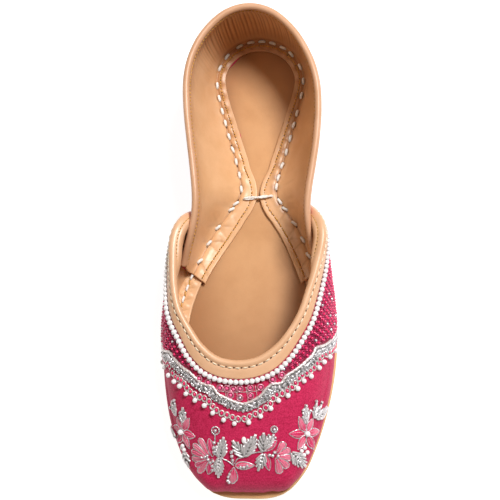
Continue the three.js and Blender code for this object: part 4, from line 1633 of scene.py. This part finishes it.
def net():
    """Coiled rings with beads in them: a few in a square net at the front, close rows beside."""
    net_ring(FRONT_RINGS, 1.5, "front_rings")
    for line in NET_THREADS:
        path, up = drawn(line, 0.18)
        sew("net_threads", cord(path, up, 0.2, 6, 2, 1.2))
    edges = np.linspace(40, 171, 500)
    pearls_edge, pearls_down = UNDER_PEARLS
    for way in (1, -1):
        start = np.interp(way * edges, pearls_edge, pearls_down)
        some, first = edges[::4][:, None] * way, start[::4][:, None] - 1.9
        band = np.where(np.abs(some) > 117, FAR, band_top(some))
        last = np.minimum(VAMP.length(some) - 1.2, band)
        downs = first + np.maximum(last - first, 0.1) * np.linspace(0, 1, 24)
        # a sheet of painted shade under the rings, for dark gaps
        sew("net_shade_sheet", sheet(on_silk(some, downs, 0.12)[::way]))
        for k in range(18):
            downs = start + 0.15 + 2.62 * k
            path = on_silk(way * edges, downs)
            marks, reach = strung(path, np.full(len(edges), 2.9))
            at = np.interp(marks + 1.45 * (k % 2), reach, edges) * way
            down = np.interp(np.abs(at), edges, downs)
            at = at + rng.uniform(-0.25, 0.25, len(at))
            down = down + rng.uniform(-0.2, 0.2, len(at))
            fits = (down < VAMP.length(at) - 1.9) & (np.abs(at) > 38) & (np.abs(at) < 170.5)
            fits &= down < np.where(np.abs(at) > 117, FAR, band_top(at) - 1.6)
            fits &= from_collar(at, down) > COLLAR_WIDE * 0.76 + 0.9
            if fits.any():
                net_ring(np.column_stack([at[fits], down[fits]]), 1.26)
                sparks = np.column_stack([at[fits] + 1.45, down[fits] + 1.3])
                sparks = sparks[rng.random(len(sparks)) < 0.14]
                if len(sparks):
                    beads("net_silver_beads", sparks, 0.42, lift=0.9)


silver_band()
fringe()
net()

# flowers, leaves and stems


def pointed(t):
    return np.sin(np.pi * t**0.8) ** 0.85 * (1 - 0.12 * t)


def spatula(t):
    return (0.22 + 0.78 * t**0.9) * np.sqrt(np.clip(1 - t**7, 0, 1))


def curved_leaf(t):
    return np.sin(np.pi * t) ** 0.8


DOME = 0.5  # how high a petal's middle stands


def petal(kind, base, tip, half_wide, shape, outline_radius=0.26):
    """A domed petal of silk floss with a silver cord laid round it."""
    base, tip = on_silk(*base), on_silk(*tip)
    along = tip - base
    _, up = settled(base[None])
    side = unit(np.cross(up[0], along))
    t, s = np.linspace(0, 1, 15), np.linspace(1, -1, 7)
    half = half_wide * shape(t)
    grid = base + along * t[:, None, None] + side * (half[:, None] * s)[..., None]
    rise = DOME * (1 - s**2)[None] * np.sin(np.pi * np.clip(t, 0.05, 0.95))[:, None] ** 0.4 + 0.08
    place, _ = settled(grid, rise.ravel())
    across = half[:, None] * s
    sew(kind, (place, quads(15, 7)), flat_of(t[:, None], across))
    for across in (-0.42, 0.42) if half_wide > 1.5 else ():
        line = base + along * t[2:-2, None] + side * (half * across)[2:-2, None]
        vein, up = settled(line, 0.12 + DOME * (1 - across**2))
        sew("petal_veins", cord(vein, up, 0.13, 5))
    rim, up = settled(np.concatenate([grid[:, 0], grid[-2:0:-1, -1]]), outline_radius * 0.7)
    sew("petal_cords", cord(rim, up, outline_radius, 6, 2, 1.3, closed=True))


def fan(base, tips, half_wide, hot=(), shape=spatula, gap=0.1):
    """Petals from one place to each tip. hot tells which of them have the hotter pink."""
    start = np.array(base, float)
    for k, tip in enumerate(np.array(tips, float)):
        kind = "hot_petals" if k in hot else "petals"
        petal(kind, start + (tip - start) * gap, tip, half_wide, shape)


def flower(centre, tips, hot):
    fan(centre, tips, 2.3, hot, pointed, 0.13)
    beads("motif_pearls", [centre], 1.45, PEARL_BEAD, 0.7)
    turns = np.linspace(0, 2 * np.pi, 7)[:-1]
    around = np.column_stack([np.cos(turns) * 2.2, np.sin(turns) * 1.9]) + centre
    beads("motif_beads", around, 0.42)


def leaf_half(t):
    return np.sin(np.pi * np.clip(t, 0, 1) ** 0.9) ** 0.75


def silver_leaf(base, tip, wide):
    """A padded leaf: bright wire strands laid close and slantwise on both sides of its middle."""
    start, end = on_silk(*base), on_silk(*tip)
    along = end - start
    length = np.linalg.norm(along)
    _, up = settled(start[None])
    side = unit(np.cross(up[0], along)) * wide / 2
    t = np.linspace(0, 1, 12)[:, None]
    half = leaf_half(t) * 0.9
    padding = np.stack([start + along * t + side * half * way for way in (1, 0, -1)], 1)
    # the leaf's padding is also a sheet of painted shade between its strands
    ground, _ = settled(padding, np.tile([0.12, 0.4, 0.12], 12))
    sew("band_shade_sheet", (ground, quads(12, 3)))
    for way in (1, -1):
        for t0 in np.linspace(-0.04, 0.58, max(3, round(length * 0.66 / 1.5))):
            t1 = t0 + 0.44
            rise = np.linspace(0, 1, 6)[:, None]
            path = start + along * (t0 + (t1 - t0) * rise)
            path = path + side * way * (leaf_half(t1) * rise**0.8 + 0.08)
            bulge = 0.3 + 0.35 * np.sin(np.pi * np.linspace(0.12, 0.95, 6)) ** 0.7
            place, up = settled(path, bulge)
            sew("leaf_strands", cord(place, up, 0.5 + rng.uniform(-0.04, 0.04), 8))


STEM = 0.38


def stem(places):
    path, up = drawn(places, STEM * 0.8, 0.3)
    sew("stems", cord(path, up, STEM, 6, 2, 1.4))


BUD_WIRE = 0.42


def bud(base, ends):
    """A small bud: two coils of wire, sewn flat, from its base to each of its beads."""
    start = on_silk(*base)
    for end in ends:
        tip = on_silk(*end)
        side = unit(np.cross(VAMP.outward(*base), tip - start)) * BUD_WIRE
        reach = (tip - start) * 0.85
        starts = np.array([start + side, start - side])
        middle, up = settled(starts + reach / 2, BUD_WIRE * 0.9)
        size = (np.linalg.norm(reach), BUD_WIRE, BUD_WIRE)
        sew("leaf_coils", copies(COIL, poses(middle, np.tile(reach, (2, 1)), up), size))
    beads("motif_beads", ends, 0.86)


def beaded_ring(centre, radius):
    middle, up = on_silk(*centre, 0.4), VAMP.outward(*centre)
    side = unit(np.cross(up, (0.3, 1, 0)))
    turns = np.linspace(0, 2 * np.pi, 15)[:-1, None]
    around = middle + radius * (side * np.cos(turns) + np.cross(up, side) * np.sin(turns))
    place, upward = settled(around, 0.35)
    frames = poses(place, np.gradient(place, axis=0), upward)
    sew("motif_beads", copies(BEAD, frames, 0.46))
    sew("petal_cords", cord(*settled(around, 0.15), 0.36, 6, closed=True))
    beads("motif_beads", [centre], 1.0)


flower((39.7, 44.9), [(36.7, 34.5), (49.4, 41.4), (52.0, 51.7), (43.4, 57.4), (30.9, 49.7),
                      (27.0, 39.5)], hot=(5, 3))
bud((41.5, 39.1), [(41.4, 33.0), (45.6, 32.4), (48.1, 36.3)])
silver_leaf((41.0, 39.5), (45.6, 31.8), 3.6)
silver_leaf((50.2, 41.2), (56.3, 36.6), 3.6)
silver_leaf((50.8, 41.8), (61.0, 40.8), 4.0)
silver_leaf((53.0, 43.8), (66.1, 48.5), 4.4)
beads("motif_beads", [(65.2, 46.9), (64.5, 50.1), (56.4, 35.6), (61.8, 39.9)], 0.8)
beads("motif_pearls", [(35.7, 50.7), (33.1, 51.1), (37.2, 54.4), (34.4, 54.2)], 1.1, PEARL_BEAD)
silver_leaf((26.8, 49.5), (33.9, 61.2), 6.0)
beads("motif_beads", [(29.2, 53.1), (31.2, 54.2), (33.2, 54.9)], 0.75)

fan((17.3, 47.3), [(23.3, 42.4), (26.1, 47.5), (25.9, 51.9), (23.2, 56.0), (18.2, 57.4)], 2.25)
beads("motif_beads", [(15.6, 46.8), (18.3, 47.9), (14.0, 46.1), (16.8, 45.4)], 0.85)
petal("hot_petals", (12.0, 43.7), (18.9, 40.0), 1.7, curved_leaf)
petal("hot_petals", (11.8, 45.0), (12.9, 54.2), 1.6, curved_leaf)
silver_leaf((11.1, 43.4), (12.5, 34.6), 5.4)
silver_leaf((10.8, 45.2), (7.3, 53.0), 4.8)
beaded_ring((18.6, 34.3), 1.55)
silver_leaf((12.4, 42.4), (18.0, 36.6), 3.6)
beads("motif_beads", [(15.2, 36.3), (18.4, 38.4), (17.5, 36.9), (14.3, 38.2)], 0.78)

flower((-40.1, 43.5), [(-46.4, 38.3), (-33.7, 33.4), (-27.7, 40.8), (-32.3, 49.2),
                       (-44.6, 53.0), (-51.5, 47.0)], hot=(2, 4))
bud((-48.0, 37.2), [(-54.2, 34.9), (-51.5, 31.5), (-56.5, 38.6)])
silver_leaf((-48.0, 37.8), (-55.5, 34.0), 3.8)
silver_leaf((-39.4, 37.4), (-40.8, 30.6), 3.8)
bud((-39.4, 37.0), [(-42.6, 34.2), (-37.5, 32.2)])
beads("motif_pearls", [(-38.4, 50.6), (-36.9, 52.1), (-35.5, 53.8), (-39.6, 52.6)], 1.1, PEARL_BEAD)
silver_leaf((-36.6, 54.0), (-31.6, 59.2), 4.0)
silver_leaf((-47.0, 50.5), (-57.0, 53.5), 4.4)

fan((-17.6, 48.4), [(-24.6, 40.3), (-29.2, 45.2), (-30.7, 49.7), (-30.5, 54.1),
                    (-27.6, 57.1), (-25.0, 59.1)], 2.05, hot=(4, 2))
beads("motif_beads", [(-22.6, 49.5), (-20.5, 48.7), (-18.6, 49.2), (-19.2, 47.4)], 0.8)
petal("hot_petals", (-16.2, 47.4), (-18.5, 38.4), 1.8, curved_leaf)
petal("hot_petals", (-16.4, 48.4), (-19.2, 58.0), 1.9, curved_leaf)
beads("motif_beads", [(-15.3, 39.6), (-15.4, 42.2), (-15.3, 44.5)], 1.0)
beaded_ring((-14.9, 33.6), 1.9)
stem([(-15.1, 35.8), (-15.1, 38.9)])
silver_leaf((-12.2, 46.9), (-10.3, 36.2), 5.2)
silver_leaf((-12.7, 47.1), (-13.6, 57.6), 4.6)
beads(
    "motif_beads",
    [(-16.1, 49.4), (-16.5, 52.1), (-15.4, 53.5), (-14.8, 51.1), (-16.4, 54.3), (-17.4, 50.7)], 0.8,
)
stem([(-15.2, 45.4), (-13.6, 46.6), (-10.7, 47.3), (-8.3, 48.1), (-5.5, 49.9)])
beads("motif_beads", [(-6.1, 43.2), (-5.9, 45.3), (-5.7, 47.4)], 0.95)
stem([(-5.7, 48.0), (-5.5, 50.2)])
petal("petals", (-5.2, 51.1), (-6.6, 60.6), 2.3, lambda t: np.sin(np.pi * t**1.25) ** 0.8, 0.34)
beads("motif_beads", [(-7.7, 55.0), (-8.4, 56.6), (-8.8, 58.7), (-8.1, 59.8)], 0.75)
petal("petals", (-4.5, 50.2), (5.6, 50.4), 2.1, pointed, 0.34)
beads("motif_beads", [(-1.7, 50.7), (0, 50.9), (1.8, 50.3)], 0.85)
stem([(-4.8, 49.3), (-3.0, 46.6), (0.2, 45.6), (1.0, 44.9), (6.9, 43.7), (10.8, 43.9)])
silver_leaf((0.2, 45.2), (-5.2, 37.4), 5.2)
silver_leaf((1.3, 44.9), (8.0, 34.8), 5.6)
stem([(1.2, 42.8), (1.2, 39.0)])
at, up = on_silk([1.2], [36.9], 0.95), VAMP.outward([1.2], [36.9])
frames = poses(at, at - on_silk([1.2], [38.0]), up)
sew("motif_pearls", copies(PEARL_BEAD, frames, (1.8, 1.25, 1.15)))

FINISHES = (
    (PEARL, "pearl", "collar_pearls fringe_pearls motif_pearls"),
    (WHITE_CORD, "silver", "band_cord"),
    (SILVER, "silver", "band_beads band_coils band_rings"),
    (PINK_BEAD, "pink_bead", "fringe_beads"),
    (WHITE_CORD, "silver", "fringe_loops fringe_picots"),
    (ROSE_BEAD, "pink_bead", "front_beads"),
    (ROSE_WIRE, "pink_bead", "net_rings"),
    (PINK_BEAD, "pink_bead", "net_pink_beads"),
    (SILVER, "silver", "net_silver_beads"),
    (WHITE_CORD, "silver", "net_threads"),
    (PETAL_PINK, "pink_thread", "petals"),
    (PETAL_HOT, "pink_thread", "hot_petals"),
    (LEAF_WIRE, "silver", "leaf_strands"),
    (PALE_WIRE, "pink_bead", "front_rings"),
    (VEIN, "pink_thread", "petal_veins"),
    (NET_SHADE, "pink_thread", "net_shade_sheet"),
    (BAND_SHADE, "silver", "band_shade_sheet"),
    (SILVER, "silver", "petal_cords leaf_coils motif_beads stems"),
)
for finish, slot, kinds in FINISHES:
    for kind in kinds.split():
        flat = np.vstack(PATTERNS[kind]) if kind in PATTERNS else None
        sewn = piece(kind, gathered(SEWN[kind]), finish, slot, flat)
        if flat is not None:
            thickened(sewn, 0.3)


# ---- the studio ----


def studio():
    bpy.ops.object.select_all(action="DESELECT")
    bpy.ops.mesh.primitive_plane_add(size=160, location=(0, 0, -0.0002))
    floor = bpy.context.object
    floor.name = "floor"
    finish = Finish(
        "floor_paint",
        {"Roughness": 0.9, "Specular IOR Level": 0.1, "Emission Color": (1, 1, 1),
         "Emission Strength": 0.9},
    )
    mottle = finish.noise(120, 2, 0.5)
    finish.set({"Base Color": finish.mixed(mottle, (0.42, 0.42, 0.42), (0.39, 0.39, 0.39))})
    floor.data.materials.append(finish.material)
    world = bpy.data.worlds.new("room")
    world.use_nodes = True
    world.node_tree.nodes["Background"].inputs["Color"].default_value = (1, 0.87, 0.72, 1)
    world.node_tree.nodes["Background"].inputs["Strength"].default_value = 0.14
    bpy.context.scene.world = world
    bpy.context.scene.view_settings.view_transform = "Standard"
    for name, place, size, power, colour in (
        ("window", (0.58, 0.44, 1.35), 0.42, 27.5, (1, 1, 1)),
        ("ceiling", (-0.75, -0.1, 1.4), 1.0, 3.8, (1, 0.88, 0.75)),
    ):
        light = bpy.data.lights.new(name, "AREA")
        light.size, light.energy, light.color = size, power, colour
        lamp = bpy.data.objects.new(name, light)
        lamp.location = place
        lamp.rotation_euler = (-Vector(place)).to_track_quat("-Z", "Y").to_euler()
        bpy.context.scene.collection.objects.link(lamp)


def camera():
    """Nearly overhead, a little towards the toe and the big toe's side."""
    eye, target = Vector((63.007, -149.215, 618.469)) * MM, Vector((0, 0, 20)) * MM
    look = (target - eye).normalized()
    side = look.cross(Vector((0, 1, 0))).normalized()
    turn = Matrix((side, side.cross(look), -look)).transposed()
    turn = turn @ Matrix.Rotation(math.radians(1.13), 3, "Z")
    data = bpy.data.cameras.new("camera")
    data.lens, data.sensor_width = 86.6, 36
    data.clip_start, data.clip_end = 0.01, 400
    obj = bpy.data.objects.new("camera", data)
    obj.matrix_world = Matrix.Translation(eye) @ turn.to_4x4()
    bpy.context.scene.collection.objects.link(obj)
    bpy.context.scene.camera = obj


studio()
camera()
